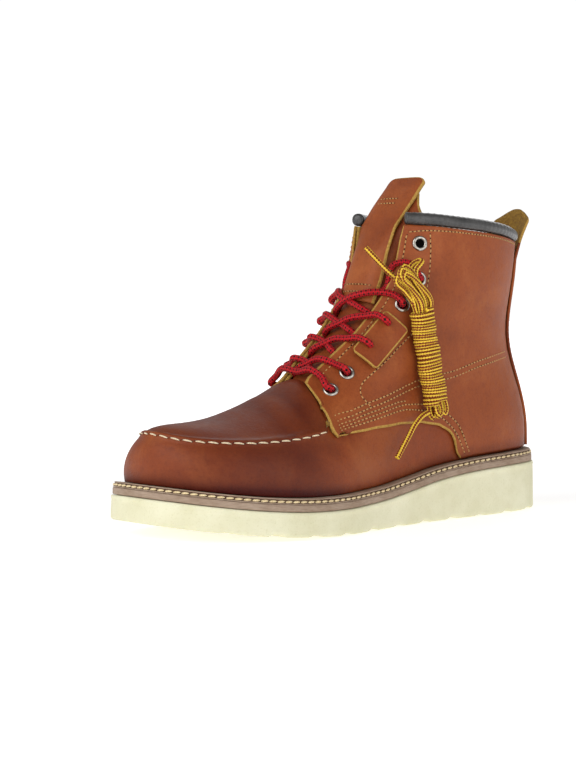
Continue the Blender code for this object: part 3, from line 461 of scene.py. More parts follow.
def stitch_row(name, points, normals, mat, pitch, fill=0.72, width=0.85, rise=0.5,
               painted_hole_shade=True, sink=0.0, slant=0.0):
    """A row of stitches along a line on a surface: each a plump short thread, with small dark discs between
    as the painted shade of the needle holes.
    """
    pts = np.array(points, float)
    nrm = np.array(normals, float)
    d = distance(pts)

    def at(where, values):
        return np.array([np.interp(where, d, values[:, k]) for k in range(3)])

    count = max(1, int(d[-1] / pitch))
    bm = bmesh.new()
    turns = [2 * math.pi * k / STITCH_SIDES for k in range(STITCH_SIDES)]
    for s in range(count):
        a = (s + 0.5) * d[-1] / count
        p = at(a, pts)
        n = at(a, nrm)
        n /= np.linalg.norm(n)
        t = at(a + 0.3 * pitch, pts) - at(a - 0.3 * pitch, pts)
        t -= n * (t @ n)
        t /= np.linalg.norm(t)
        t = t + np.cross(n, t) * slant
        t /= np.linalg.norm(t)
        b = np.cross(n, t)
        half = 0.5 * pitch * fill
        rows = []
        for u in (-1.0, -0.86, -0.45, 0.0, 0.45, 0.86, 1.0):
            girth = math.sqrt(max(0.02, 1.0 - abs(u) ** 3))
            lift = (rise * (1.0 - 0.75 * u * u) - 0.42 - sink) * MM
            wide, tall = b * girth * width * 0.5 * MM, n * girth * rise * MM
            c = p + t * u * half + n * lift
            rows.append([bm.verts.new(tuple(c + wide * math.cos(w) + tall * math.sin(w))) for w in turns])
        skin(bm, rows, True)
        for end in (rows[0], rows[-1]):
            bm.faces.new(end)
        # painted shade: a dark disc at each end of the stitch stands for the needle hole
        if painted_hole_shade:
            for u in (-1.0, 1.0):
                c = p + t * u * (half + 0.22 * MM) + n * (0.03 - sink) * MM
                disc = [bm.verts.new(tuple(c + t * math.cos(w) * 0.34 * MM + b * math.sin(w) * 0.42 * MM))
                        for w in turns]
                bm.faces.new(disc).material_index = 1
    bmesh.ops.recalc_face_normals(bm, faces=bm.faces)
    ob = smooth_object(name, bm, (mat, HOLE_SHADE))
    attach(ob, "root")


def midsole_and_welt():
    board = taupe_leatherboard()
    ts = stations(110)

    def over_wedge(up):
        return lambda y, i: wedge_top(y) + up

    levels = [(1.6 * MM, CLEAR), (1.25 * MM, CLEAR + 0.25 * MM), (1.15 * MM, CLEAR + 0.9 * MM),
              (1.2 * MM, MIDSOLE - 0.9 * MM), (1.35 * MM, MIDSOLE - 0.3 * MM),
              (1.8 * MM, MIDSOLE - 0.05 * MM)]
    mid = ring_solid("midsole_layer", [(inset_loop(a), over_wedge(up)) for a, up in levels], ts, [board])
    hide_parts("midsole")
    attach(mid, "root")

    def over_mid(up):
        return lambda y, i: feather_z(y) - WELT + up

    inner = LEDGE + WALL + 5.0 * MM
    levels = [(1.5 * MM, 0.1 * MM), (1.2 * MM, 0.35 * MM), (1.5 * MM, 0.7 * MM), (2.3 * MM, 0.9 * MM),
              (2.6 * MM, WELT - 1.0 * MM), (2.2 * MM, WELT - 0.7 * MM), (2.3 * MM, WELT - 0.2 * MM),
              (2.9 * MM, WELT), (6.4 * MM, WELT - 0.05 * MM), (inner, WELT), (inner, CLEAR)]
    welt = ring_solid("welt_ring", [(inset_loop(a), over_mid(up)) for a, up in levels], ts,
                      [board, GROOVE_SHADE], hole=True)
    n = len(rim(PLAN, ts))
    # the groove faces round the welt take the painted shade
    for poly in list(welt.data.polygons)[2 * n:5 * n]:
        poly.material_index = 1
    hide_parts("welt")
    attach(welt, "root")
    loop = inset_loop(1.9 * MM)
    points = np.c_[loop, feather_z(loop[:, 1]) - WELT + 1.55 * MM]
    run = np.roll(points, -1, axis=0) - np.roll(points, 1, axis=0)
    run /= np.linalg.norm(run, axis=1)[:, None]
    out = np.c_[run[:, 1], -run[:, 0], np.zeros(len(run))]
    if (out * (points - points.mean(axis=0))).sum() < 0:
        out = -out
    out[:, 2] = 0.55
    points = np.vstack([points, points[:1]])
    out = np.vstack([out, out[:1]])
    stitch_row("welt_stitches", points, out, thread("tan welt thread", "f0dcb0", "c4a673"),
               pitch=5.0 * MM, fill=0.88, width=1.45, rise=0.5, sink=-0.05, slant=0.08, painted_hole_shade=False)


midsole_and_welt()

# Insole
# A sock of undyed vegetable-tanned leather glued inside, dull and a little darkened; it is
# seen down the collar.


def insole_leather():
    mat, shader, where = two_tone("insole leather", 18.0, 5.0, "8f6a43", "b98f62", 0.75)
    bumps(mat, shader, [(noise(mat, where, 0.8, 4.0, 0.7), 0.08)])
    return mat


node = frame["nodes"]["insole"]
node.data.materials.clear()
node.data.materials.append(insole_leather())

# Upper
# Vamp, plug and lining in one wall of oiled pull-up cowhide, drawn over the last and held
# at the welt. The vamp is folded up round the plug and sewn to it, which raises the seam.
SHAFT_RISE = 130.0 * MM         # welt to the collar's edge at the back
SEAM_RIDGE = 1.3 * MM           # raised moc seam
# One row a column of the upper, heel back (row 0) along the outer side to the toe tip
# (row 17). Shares: side, out, bulge and waist of BALL_WIDTH, back of SOLE_LENGTH from the
# heel, up (above the welt there), rise and reach of SHAFT_RISE, arc of the feather line.
# rise and out: how the column leaves the welt; lean: degrees off plumb at its upper end;
# reach: that end's straight run; bulge and waist: heel cup and ankle.
COLUMNS = [
    # arc, side, back, up, rise, out, lean, reach, bulge, waist
    (0.000, 0.0000, 0.0474, 1.0029, 0.323, 0.0026, -5, 0.231, 0.0070, 0.0783),
    (0.085, 0.1435, 0.0703, 1.0111, 0.323, 0.0043, -4, 0.231, 0.0070, 0.0739),
    (0.165, 0.2435, 0.1373, 1.0373, 0.323, 0.0104, -3, 0.231, 0.0157, 0.0478),
    (0.235, 0.2870, 0.2124, 1.0642, 0.323, 0.0130, -2, 0.246, 0.0174, 0.0261),
    (0.310, 0.2870, 0.2974, 1.0951, 0.323, 0.0174, 2, 0.277, 0.0130, 0.0174),
    (0.370, 0.2478, 0.3562, 1.1231, 0.338, 0.0174, 6, 0.323, 0.0087, 0.0087),
    (0.415, 0.1783, 0.3987, 1.1431, 0.346, 0.0157, 11, 0.354, 0.0052, 0.0035),
    (0.455, 0.1720, 0.4265, 0.9045, 0.323, 0.0157, 30, 0.277, 0.0035, 0.0000),
    (0.500, 0.1357, 0.4967, 0.7134, 0.277, 0.0174, 42, 0.231, 0.0026, 0.0000),
    (0.545, 0.1096, 0.5654, 0.5930, 0.238, 0.0261, 50, 0.215, 0.0026, 0.0000),
    (0.585, 0.0826, 0.6291, 0.4803, 0.215, 0.0348, 56, 0.215, 0.0026, 0.0000),
    (0.600, 0.2304, 0.6405, 0.3886, 0.154, 0.0217, 52, 0.123, 0.0017, 0.0000),
    (0.615, 0.3435, 0.6536, 0.2851, 0.108, 0.0217, 42, 0.085, 0.0017, 0.0000),
    (0.680, 0.3522, 0.7288, 0.2586, 0.100, 0.0243, 44, 0.085, 0.0000, 0.0000),
    (0.750, 0.3217, 0.8072, 0.2364, 0.100, 0.0243, 46, 0.085, 0.0000, 0.0000),
    (0.830, 0.2435, 0.8791, 0.2217, 0.100, 0.0226, 46, 0.085, 0.0000, 0.0000),
    (0.915, 0.1130, 0.9314, 0.2174, 0.100, 0.0209, 46, 0.077, 0.0000, 0.0000),
    (1.000, -0.0522, 0.9569, 0.2298, 0.100, 0.0191, 46, 0.077, 0.0000, 0.0000),
]
# inner side where it isn't the outer side's mirror image
INNER_ROWS = [
    # row, side, up
    (7, -0.1548, 0.9045),
    (12, -0.3261, 0.2928),
    (13, -0.3304, 0.2663),
    (14, -0.3261, 0.2441),
    (15, -0.3043, 0.2294),
    (16, -0.2217, 0.2266),
]
N_ROWS = len(COLUMNS) - 1
LOOP = 2 * N_ROWS
CORNERS = [6, 10, 12, LOOP - 12, LOOP - 10, LOOP - 6]
# the apron's crown, toe to throat
CROWN = [
    # back, up
    (0.9569, 0.2298),
    (0.9379, 0.2582),
    (0.9150, 0.2752),
    (0.8725, 0.2944),
    (0.8268, 0.3184),
    (0.7810, 0.3520),
    (0.7353, 0.3965),
    (0.6863, 0.4471),
    (0.6536, 0.4766),
    (0.6291, 0.4957),
]


def place(side, back, up):
    """A point from its shares: side, back from the heel, up above the welt."""
    y = HEEL_SEAT - back * SOLE_LENGTH
    return np.array([side * BALL_WIDTH, y, float(feather_z(y)) + up * SHAFT_RISE])


def column_tables():
    inner_rows = {k: (side, up) for k, side, up in INNER_ROWS}
    rows = []
    other = []
    for k, (arc, side, back, up, rise, out, lean, reach, bulge, waist) in enumerate(COLUMNS):
        rest = [rise * SHAFT_RISE, out * BALL_WIDTH, lean, reach * SHAFT_RISE,
                bulge * BALL_WIDTH, waist * BALL_WIDTH]
        rows.append([arc, *place(side, back, up), *rest])
        side, up = inner_rows.get(k, (-side, up))
        other.append([arc, *place(side, back, up), *rest])
    table = np.array(rows + [other[k] for k in range(N_ROWS - 1, 0, -1)])
    arc = np.r_[table[:N_ROWS + 1, 0], 2.0 - table[N_ROWS + 1:, 0]]
    return table, arc


TABLE, ARC = column_tables()
FEATHER = inset_loop(LEDGE)
_outer, _inner = halves(FEATHER)


def along(line, share):
    d = distance(line)
    return np.array([np.interp(share * d[-1], d, line[:, 0]), np.interp(share * d[-1], d, line[:, 1])])


def feather_point(arc):
    arc = arc % 2.0
    return along(_outer, arc) if arc <= 1.0 else along(_inner, 2.0 - arc)


def loop_row(column, j, smooth_all=False):
    """A table column at loop position j, smooth between the corners of the top line."""
    marks = CORNERS
    j = j % LOOP
    if smooth_all:
        k = int(math.floor(j))
        idx = [(k + d) for d in (-2, -1, 0, 1, 2, 3)]
    else:
        lo = max([m for m in marks if m <= j], default=marks[-1] - LOOP)
        hi = min([m for m in marks if m > j], default=marks[0] + LOOP)
        idx = list(range(lo, hi + 1))
    ys = np.array([column[i % LOOP] for i in idx])
    return smooth(idx, ys, j)


def column(j):
    """Everything that shapes one column of the wall."""
    j = j % LOOP
    k = int(math.floor(j))
    idx = [k - 2, k - 1, k, k + 1, k + 2, k + 3]
    arcs = np.array([ARC[i % LOOP] + 2.0 * (i // LOOP) for i in idx])
    arc = float(smooth(idx, arcs, j))
    foot = feather_point(arc)
    e = 0.012
    side = feather_point(arc + e) - feather_point(arc - e)
    out = np.array([-side[1], side[0], 0.0]) / np.linalg.norm(side)
    top = loop_row(TABLE[:, 1:4], j)
    rise, push, lean, reach, bulge, waist = loop_row(TABLE[:, 4:10], j, True)
    base = np.array([foot[0], foot[1], float(feather_z(foot[1])) + CLEAR])
    up = np.array([0.0, 0.0, 1.0])
    lean = math.radians(lean)
    end = up * math.cos(lean) - out * math.sin(lean)
    p1 = base + up * rise + out * push
    p2 = top - end * reach
    return base, p1, p2, top, out, bulge, waist


_cache = {}


def raw_point(j, h):
    key = round(j % LOOP, 6)
    if key not in _cache:
        _cache[key] = column(j)
    base, p1, p2, top, out, bulge, waist = _cache[key]
    g = 1 - h
    p = base * g ** 3 + 3 * p1 * g * g * h + 3 * p2 * g * h * h + top * h ** 3
    up = (p[2] - base[2]) / SHAFT_RISE
    cup = math.exp(-((up - 0.14) / 0.155) ** 2) * min(1.0, h * 8)
    ankle = math.exp(-((up - 0.555) / 0.26) ** 2)
    return p + out * (bulge * cup - waist * ankle)


def wall_point(j, h):
    """Outer face of the wall: column j, height share h; blended sideways under its edge."""
    p = raw_point(j, h)
    k = j % LOOP
    k = min(k, LOOP - k)
    blend = min(1.0, (1.0 - h) / 0.22) * min(1.0, h / 0.12)
    blend *= min(1.0, max(0.0, (k - 4.2) / 1.2)) * min(1.0, max(0.0, (13.4 - k) / 1.2))
    if blend <= 0.0:
        return p
    soft = (raw_point(j - 1.2, h) + raw_point(j + 1.2, h)) * 0.125
    soft = soft + (raw_point(j - 0.6, h) + raw_point(j + 0.6, h)) * 0.25 + p * 0.25
    return p * (1 - blend) + soft * blend


def wall_normal(j, h):
    e = 0.02
    a = wall_point(j + e, h) - wall_point(j - e, h)
    h0, h1 = max(0.0, h - 0.02), min(1.0, h + 0.02)
    b = wall_point(j, h1) - wall_point(j, h0)
    n = np.cross(b, a)
    return n / np.linalg.norm(n)


def off_wall(j, h, d):
    return wall_point(j, h) + wall_normal(j, h) * d


def h_at_up(j, up):
    """Height share at which column j passes a height above its foot."""
    hs = np.linspace(0, 1, 41)
    zs = np.array([wall_point(j, h)[2] for h in hs])
    return float(np.interp(zs[0] + up * SHAFT_RISE, np.maximum.accumulate(zs), hs))


def crown_z(x, y, xo, xi, zo, zi):
    """Apron height between the two seams at y."""
    back = (HEEL_SEAT - y) / SOLE_LENGTH
    rows = np.array(CROWN)[::-1]
    top = float(feather_z(y)) + float(smooth(rows[:, 0], rows[:, 1], back)) * SHAFT_RISE
    mid = (xo + xi) / 2
    half = max((xo - xi) / 2, 1e-6)
    u = (x - mid) / half
    seam = zo + (zi - zo) * (xo - x) / max(xo - xi, 1e-6)
    return seam + (top - (zo + zi) / 2) * (1 - u * u)


def seam_lift(j):
    """The moc seam stands proud between the two throat corners round the toe."""
    lo, hi = CORNERS[2], CORNERS[3]
    if j <= lo or j >= hi:
        return 0.0
    return SEAM_RIDGE * min(1.0, (j - lo) / 0.6, (hi - j) / 0.6)


def oiled_leather(name, dark, mid, light):
    """Pull-up cowhide: colour clouds, pores, fine wrinkles; a value per point paints shade darker and light
    paler, and pales it where it is stretched.
    """
    mat, shader, where = blank(name)
    cloud = noise(mat, where, 38.0, 6.0, 0.6, 0.6)
    colour = ramp(mat, cloud, [(0.15, dark), (0.5, mid), (0.85, light)])
    mottle = noise(mat, where, 4.5, 6.0, 0.7)
    colour = mix(mat, "MULTIPLY", 0.30, colour, ramp(mat, mottle, [(0.35, "c9b2a2"), (0.6, "ffffff")]))
    # painted light and shade: above 0.5 the colour pales toward the light tone (painted light, and pull-up
    # paling where stretched), below 0.5 a deep brown darkens it (painted shade)
    painted_light_and_tone_fac = add(mat, "ShaderNodeAttribute", {"attribute_name": "painted_light_and_tone"}).outputs["Fac"]
    colour = mix(mat, "MIX", ramp(mat, painted_light_and_tone_fac, [(0.5, "000000"), (1.0, "ffffff")]), colour, tone(light))
    colour = mix(mat, "MULTIPLY", ramp(mat, painted_light_and_tone_fac, [(0.0, "ffffff"), (0.5, "000000")]), colour,
                 tone("8c4a2c"))
    pores = add(mat, "ShaderNodeTexVoronoi", {"Scale": 1000.0 / 1.5, "feature": "F1"},
                {"Vector": where}).outputs["Distance"]
    wrinkle = noise(mat, where, 2.6, 9.0, 0.68, 1.6)
    fine = noise(mat, where, 0.55, 3.0, 0.7)
    # painted shade: the fine wrinkles darkened where they are deepest
    colour = mix(mat, "MULTIPLY", 0.25, colour, ramp(mat, wrinkle, [(0.36, "b09484"), (0.5, "ffffff")]))
    mat.node_tree.links.new(colour, shader.inputs["Base Color"])
    rough = add(mat, "ShaderNodeMapRange", {"From Min": 0.3, "From Max": 0.7, "To Min": 0.43,
                                            "To Max": 0.57}, {"Value": mottle}).outputs[0]
    mat.node_tree.links.new(rough, shader.inputs["Roughness"])
    shader.inputs["Specular IOR Level"].default_value = 0.26
    bumps(mat, shader, [(noise(mat, where, 11.0, 4.0), 0.16), (wrinkle, 0.15), (pores, 0.045), (fine, 0.035)])
    return mat


def cut_edge():
    """Raw cut edge of leather: pale gold fibres, unburnished."""
    mat, shader, where = blank("raw cut edge")
    fibre = noise(mat, where, 1.2, 5.0, 0.7)
    colour = ramp(mat, fibre, [(0.3, "916a2b"), (0.5, "b0873a"), (0.75, "c9a251")])
    surface(mat, shader, colour, 0.85)
    bumps(mat, shader, [(fibre, 0.12)])
    return mat


def suede():
    """Flesh side: a short napped pile, olive gold."""
    mat, shader, where = blank("suede flesh side")
    nap = noise(mat, where, 1.6, 8.0, 0.75, 0.8)
    cloud = noise(mat, where, 9.0, 4.0)
    colour = ramp(mat, nap, [(0.3, "5f4210"), (0.5, "8f6a1c"), (0.72, "b58c30")])
    colour = mix(mat, "MULTIPLY", 0.4, colour, ramp(mat, cloud, [(0.35, "c8b594"), (0.65, "ffffff")]))
    surface(mat, shader, colour, 0.95)
    shader.inputs["Sheen Weight"].default_value = 0.12
    shader.inputs["Sheen Roughness"].default_value = 0.5
    bumps(mat, shader, [(nap, 0.30)])
    return mat


VAMP = oiled_leather("vamp leather", "7a3413", "8a3f18", "a35a2b")
SHAFT = oiled_leather("shaft leather", "86401a", "964a20", "ab6030")
EDGE = cut_edge()
SUEDE = suede()

# soft troughs on the wall: from column and height, to column and height, width and depth in mm
WALL_TROUGHS = [
    # j0, h0, j1, h1, width, depth
    (11.4, 0.62, 8.6, 0.26, 7.0, 0.9),
    (12.6, 0.80, 10.8, 0.30, 6.0, 0.55),
    (13.6, 0.82, 12.6, 0.35, 6.5, 0.45),
    (22.6, 0.62, 25.4, 0.26, 7.0, 0.9),
    (21.4, 0.80, 23.2, 0.30, 6.0, 0.55),
    (8.0, 0.42, 5.6, 0.34, 9.0, 0.9),
    (26.0, 0.42, 28.4, 0.34, 9.0, 0.9),
    (5.2, 0.52, 3.0, 0.50, 8.0, 0.55),
    (28.8, 0.52, 31.0, 0.50, 8.0, 0.55),
    (4.2, 0.66, 1.8, 0.58, 7.0, 0.45),
    (29.8, 0.66, 32.2, 0.58, 7.0, 0.45),
    (6.6, 0.60, 4.4, 0.78, 9.0, 0.5),
    (27.4, 0.60, 29.6, 0.78, 9.0, 0.5),
]
# soft troughs across the plug: back share, from and to across it (0 outer seam, 1 inner)
PLUG_TROUGHS = [
    # back, from, to, width, depth
    (0.690, 0.12, 0.88, 6.0, 0.8),
    (0.745, 0.05, 0.60, 6.0, 0.5),
    (0.725, 0.50, 0.95, 5.0, 0.45),
]


def trough_lines():
    lines = []
    for j0, h0, j1, h1, width, depth in WALL_TROUGHS:
        run = [wall_point(j0 + (j1 - j0) * u, h0 + (h1 - h0) * u + 0.03 * math.sin(math.pi * u))
               for u in np.linspace(0, 1, 24)]
        lines.append((np.array(run), width * MM, depth * MM))
    return lines


TROUGHS = trough_lines()


def sag(points):
    """How far the soft troughs and the ridges beside them move each point; the same move sets their painted
    crease shade and pull-up paling.
    """
    points = np.asarray(points)
    move = np.zeros(len(points))
    for run, width, depth in TROUGHS:
        gap = np.linalg.norm(points[:, None, :] - run[None, :, :], axis=2)
        near = gap.min(axis=1)
        along_run = gap.argmin(axis=1) / (len(run) - 1.0)
        fade = np.sin(np.pi * np.clip(along_run, 0.04, 0.96)) ** 0.6
        move -= depth * fade * np.exp(-(near / width) ** 2)
        move += 0.45 * depth * fade * np.exp(-((near - 1.9 * width) / (0.9 * width)) ** 2)
    return move


def leather_sheet(name, bm, mats, painted_light_and_tone, thickness, offset, rim_slot=0):
    """A sheet of leather facing out of the boot, with its painted light and tone, its thickness and its flesh
    side.
    Value per point: 0 darkest, painted shade; 0.5 plain, small drifts round it are tone; 1 palest, painted
    light and pull-up paling."""
    ob = smooth_object(name, bm, mats)
    mesh = ob.data
    middle = Vector(place(0.0, 0.31, 0.35))
    if sum(p.normal.dot(p.center - middle) * p.area for p in mesh.polygons) < 0:
        mesh.flip_normals()
    layer = mesh.attributes.new("painted_light_and_tone", "FLOAT", "POINT")
    layer.data.foreach_set("value", np.clip(painted_light_and_tone, 0.0, 1.0).astype(np.float32))
    mod = ob.modifiers.new("thickness", "SOLIDIFY")
    mod.thickness = thickness
    mod.offset = offset
    mod.use_even_offset = False
    mod.use_rim = True
    mod.material_offset_rim = rim_slot
    mod.material_offset = 2
    return ob


CREASE_SHADE_AND_PULL_UP = 160.0                 # painted crease shade (troughs darker) and pull-up paling (ridges paler) for each metre a trough or ridge moves the leather
PLUG_ACROSS = 36                # faces across the plug


def upper_wall():
    js = np.arange(0.0, LOOP, 0.25)
    hs = np.unique(np.r_[0.0, 0.012, 0.03, np.linspace(0.06, 0.9, 29), 0.93, 0.955, 0.975, 0.99, 1.0])
    nrm = np.array([[wall_normal(j, h) for j in js] for h in hs])
    pts = np.array([[wall_point(j, h) for j in js] for h in hs])
    move = sag(pts.reshape(-1, 3)).reshape(len(hs), len(js))
    pts = pts + nrm * move[..., None]
    tops = [wall_point(j, 1.0) for j in js]
    bm = bmesh.new()
    grid = []
    painted_light_and_tone = []
    for r in range(len(hs)):
        row = []
        for c, j in enumerate(js):
            p = pts[r][c]
            d = np.linalg.norm(tops[c] - p)
            p = p + nrm[r][c] * seam_lift(j) * math.exp(-(d / (2.0 * MM)) ** 2)
            row.append(bm.verts.new(tuple(p)))
            # painted shade: darker in a narrow band along the joint with the welt
            low = math.exp(-((p[2] - feather_z(p[1])) / (5 * MM)) ** 2)
            near = min(j, LOOP - j)
            # painted shade darkens the vamp round column 14 on both sides; painted light pales it round
            # column 8.5
            shade = 0.34 * math.exp(-((near - 14.0) / 2.0) ** 2)
            shade -= 0.16 * math.exp(-((near - 8.5) / 2.2) ** 2)
            # troughs darker (painted crease shade), ridges paler (pull-up paling), then the painted shade and
            # light above
            painted_light_and_tone.append(0.5 + CREASE_SHADE_AND_PULL_UP * move[r][c] - 0.30 * low - shade)
        grid.append(row)
    n = len(js)
    skin(bm, grid, True)
    # the plug between the seams, toe tip to throat
    us = 0.5 - 0.5 * np.cos(np.pi * np.linspace(0.0, 1.0, PLUG_ACROSS + 1))
    prev = None
    tip = grid[-1][int(round(N_ROWS / 0.25))]
    for j in np.arange(N_ROWS - 0.25, CORNERS[1] - 0.001, -0.25):
        ia = int(round(j / 0.25))
        ib = int(round((LOOP - j) / 0.25)) % n
        va, vb = grid[-1][ia], grid[-1][ib]
        a, b = wall_point(j, 1.0), wall_point(LOOP - j, 1.0)
        width = abs(a[0] - b[0])
        row = [va]
        for u in us[1:-1]:
            x = a[0] + (b[0] - a[0]) * u
            z = crown_z(x, a[1], a[0], b[0], a[2], b[2])
            side = min(u, 1 - u) * width
            z += seam_lift(j) * math.exp(-(side / (2.2 * MM)) ** 2)
            share = (HEEL_SEAT - a[1]) / SOLE_LENGTH
            dip = 0.0
            for back, lo, hi, w, depth in PLUG_TROUGHS:
                g = (share - back) * SOLE_LENGTH / (w * MM)
                mask = math.exp(-(max(0.0, lo - u, u - hi) / 0.12) ** 2)
                dip -= depth * MM * mask * math.exp(-g * g)
                dip += 0.45 * depth * MM * mask * math.exp(-((abs(g) - 1.9) / 0.9) ** 2)
            row.append(bm.verts.new((x, a[1], z + dip)))
            # painted shade: the plug starts darker than plain (0.24 against 0.5); its troughs darker and
            # ridges paler as on the wall
            painted_light_and_tone.append(0.24 + CREASE_SHADE_AND_PULL_UP * dip)
        row.append(vb)
        if prev is None:
            for i in range(len(row) - 1):
                bm.faces.new([tip, row[i], row[i + 1]])
        else:
            for i in range(len(row) - 1):
                quad = [prev[i], prev[i + 1], row[i + 1], row[i]]
                if len(set(quad)) == 4:
                    bm.faces.new(quad)
        prev = row
    bmesh.ops.recalc_face_normals(bm, faces=bm.faces)
    ob = leather_sheet("upper_wall", bm, (VAMP, EDGE, SUEDE), painted_light_and_tone, WALL, -1, 1)
    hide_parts("upper")
    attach(ob, "root")


upper_wall()


def wall_line(spots, lift, n=120):
    """Points and normals along a smooth line through (column, height share) spots."""
    spots = np.array(spots, float)
    line = smooth(np.arange(len(spots)), spots, np.linspace(0, len(spots) - 1, n))
    pts = [wall_point(j, h) for j, h in line]
    nrm = [wall_normal(j, h) for j, h in line]
    move = sag(np.array(pts))
    return [p + u * (m + lift) for p, u, m in zip(pts, nrm, move)], nrm


def seam_line():
    """Just outside and below the raised seam's crest, round the toe."""
    pts = []
    nrm = []
    for j in np.linspace(CORNERS[2] + 0.04, CORNERS[3] - 0.04, 160):
        h = 1.0 - 0.0016 / max(0.02, np.linalg.norm(wall_point(j, 1.0) - wall_point(j, 0.93)) / 0.07)
        n = wall_normal(min(max(j, CORNERS[2] + 0.6), CORNERS[3] - 0.6), h)
        pts.append(wall_point(j, h) + n * (seam_lift(j) * 0.72))
        nrm.append(n)
    return pts, nrm


CREAM_THREAD = thread("cream waxed thread", "f0e0c0", "b99f78")
points, normals = seam_line()
stitch_row("moc_seam_stitches", points, normals, CREAM_THREAD, pitch=7.2 * MM, fill=0.82, width=1.0,
           rise=0.55, sink=-0.15, slant=-0.12)

# Quarters and facings
# A second layer of leather from the heel to the laces, the facing in one piece with the
# quarter: its lower and front edges are cut raw, and rows of tan thread sew it down.
LAYER = 1.9 * MM                # quarter leather laid over the wall
QUARTER_GAP = 0.6 * MM          # wall to the quarter's leather, both curved
LAID_AT = QUARTER_GAP * 0.6     # and in the dressed quarter, whose troughs follow the wall's
RAW_BAND = 1.1 * MM             # raw edge seen round the leather
LOW_ROWS = 9
# lower edge of the quarter on its column, above the welt (0 means the welt itself)
QUARTER_EDGE = [
    # column row, up
    (0.50, 0.0000),
    (3.60, 0.0000),
    (3.74, 0.0780),
    (3.86, 0.1223),
    (4.08, 0.1569),
    (4.52, 0.1952),
    (5.60, 0.2396),
    (7.00, 0.2609),
    (8.50, 0.2670),
    (10.00, 0.2565),
]


def side_row(j, side):
    return j if side > 0 else LOOP - j


def quarter_leather(name, side):
    rows = np.array(QUARTER_EDGE)
    js = np.unique(np.r_[np.arange(0.5, 9.001, 0.25), np.linspace(3.55, 4.55, 9),
                         np.linspace(9.1, 9.9, 9), 9.96, 10.0])
    bm = bmesh.new()
    painted_light_and_tone = []
    grid = []
    for j in js:
        up = float(np.interp(j, rows[:, 0], rows[:, 1]))
        # the front edge swings forward of the last column, over the seam's end
        ahead = max(0.0, j - 9.0)
        jj = side_row(j + 1.13 * ahead, side)
        low = h_at_up(jj, up) if up > 0.0 else 0.012
        tall = max(0.02, np.linalg.norm(wall_point(jj, 1.0) - wall_point(jj, 0.5)) * 2.0)
        band = RAW_BAND / tall
        knee = max(0.58, low + 0.10)
        hs = [low, low + band] + [low + (knee - low) * (i / LOW_ROWS) for i in range(1, LOW_ROWS)]
        hs += list(np.linspace(knee, 0.98, 15)) + [1.0 - band, 1.0]
        swing = [side * 0.34 * ahead * math.sin(math.pi * i / (len(hs) - 1)) for i in range(len(hs))]
        pts = np.array([wall_point(jj + s, h) for h, s in zip(hs, swing)])
        nrm = np.array([wall_normal(jj + s, h) for h, s in zip(hs, swing)])
        row = []
        for i, (p, n, m) in enumerate(zip(pts, nrm, sag(pts))):
            raw = (i == 0 and j > 3.5) or (i == len(hs) - 1 and j > 5.9) or j == 10.0
            m = m + 0.25 * MM * ahead - (0.35 * MM if raw else 0.0)
            row.append(bm.verts.new(tuple(p + n * (m + LAID_AT))))
            # painted shade: darker in a narrow band along the joint with the welt; troughs and the lowered
            # raw edges darker, raised parts paler
            foot = math.exp(-((p[2] - feather_z(p[1])) / (5 * MM)) ** 2)
            painted_light_and_tone.append(0.5 + CREASE_SHADE_AND_PULL_UP * m - 0.30 * foot)
        grid.append(row)
    for c, faces in enumerate(skin(bm, grid)):
        for i, face in enumerate(faces):
            if (i == 0 and js[c] > 3.5) or (i == len(faces) - 1 and js[c] >= 5.9) or c == len(grid) - 2:
                face.material_index = 1
    return leather_sheet(name, bm, (SHAFT, EDGE, SUEDE), painted_light_and_tone, LAYER, 1)


PANEL_THREAD = thread("tan panel thread", "c99c5f", "94692f")
FACE_LIFT = LAID_AT + LAYER
# sewn lines on the quarter: name, spots of (column, height share), stitch pitch in mm
SEWN = [
    ("facing", [(5.02, 0.965), (5.06, 0.880), (5.18, 0.790), (5.50, 0.690), (6.14, 0.615), (7.34, 0.652),
                (8.35, 0.678), (8.80, 0.672), (8.92, 0.610), (8.66, 0.500)], 3.0),
    ("facing_edge", [(5.95, 0.965), (6.42, 0.950), (7.21, 0.945), (7.81, 0.947), (8.39, 0.948),
                     (9.03, 0.944), (9.60, 0.945), (9.80, 0.900)], 3.0),
    ("belt_upper", [(10.75, 0.735), (9.70, 0.600), (8.90, 0.545), (6.57, 0.412), (4.28, 0.384),
                    (2.96, 0.410), (1.45, 0.440)], 2.9),
    ("belt_lower", [(10.80, 0.685), (9.72, 0.560), (8.90, 0.508), (6.57, 0.386), (4.28, 0.360),
                    (2.96, 0.386), (1.45, 0.416)], 2.9),
    ("lower_a", [(10.80, 0.585), (9.78, 0.485), (8.58, 0.408), (6.42, 0.300), (5.20, 0.252),
                 (4.50, 0.215), (4.02, 0.165), (3.72, 0.110), (3.44, 0.030)], 2.9),
    ("lower_b", [(10.85, 0.620), (9.80, 0.510), (8.58, 0.434), (6.42, 0.322), (5.10, 0.274),
                 (4.36, 0.236), (3.84, 0.180), (3.56, 0.115), (3.28, 0.030)], 2.9),
    ("lower_c", [(10.85, 0.652), (9.80, 0.535), (8.58, 0.460), (6.60, 0.346)], 2.9),
    ("under_collar", [(5.90, 0.975), (5.00, 0.978), (4.00, 0.981), (3.00, 0.981), (2.00, 0.981),
                      (1.30, 0.981)], 2.6),
]


def quarters():
    for side, word in ((1, "outer"), (-1, "inner")):
        ob = quarter_leather("quarter_leather_" + word, side)
        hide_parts("quarter_" + word)
        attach(ob, "root")
        for line, spots, pitch in SEWN:
            where = [(side_row(j, side), h) for j, h in spots]
            points, normals = wall_line(where, FACE_LIFT)
            stitch_row("sewn_%s_%s" % (line, word), points, normals, PANEL_THREAD, pitch=pitch * MM,
                       fill=0.74, width=0.95, rise=0.44)


quarters()

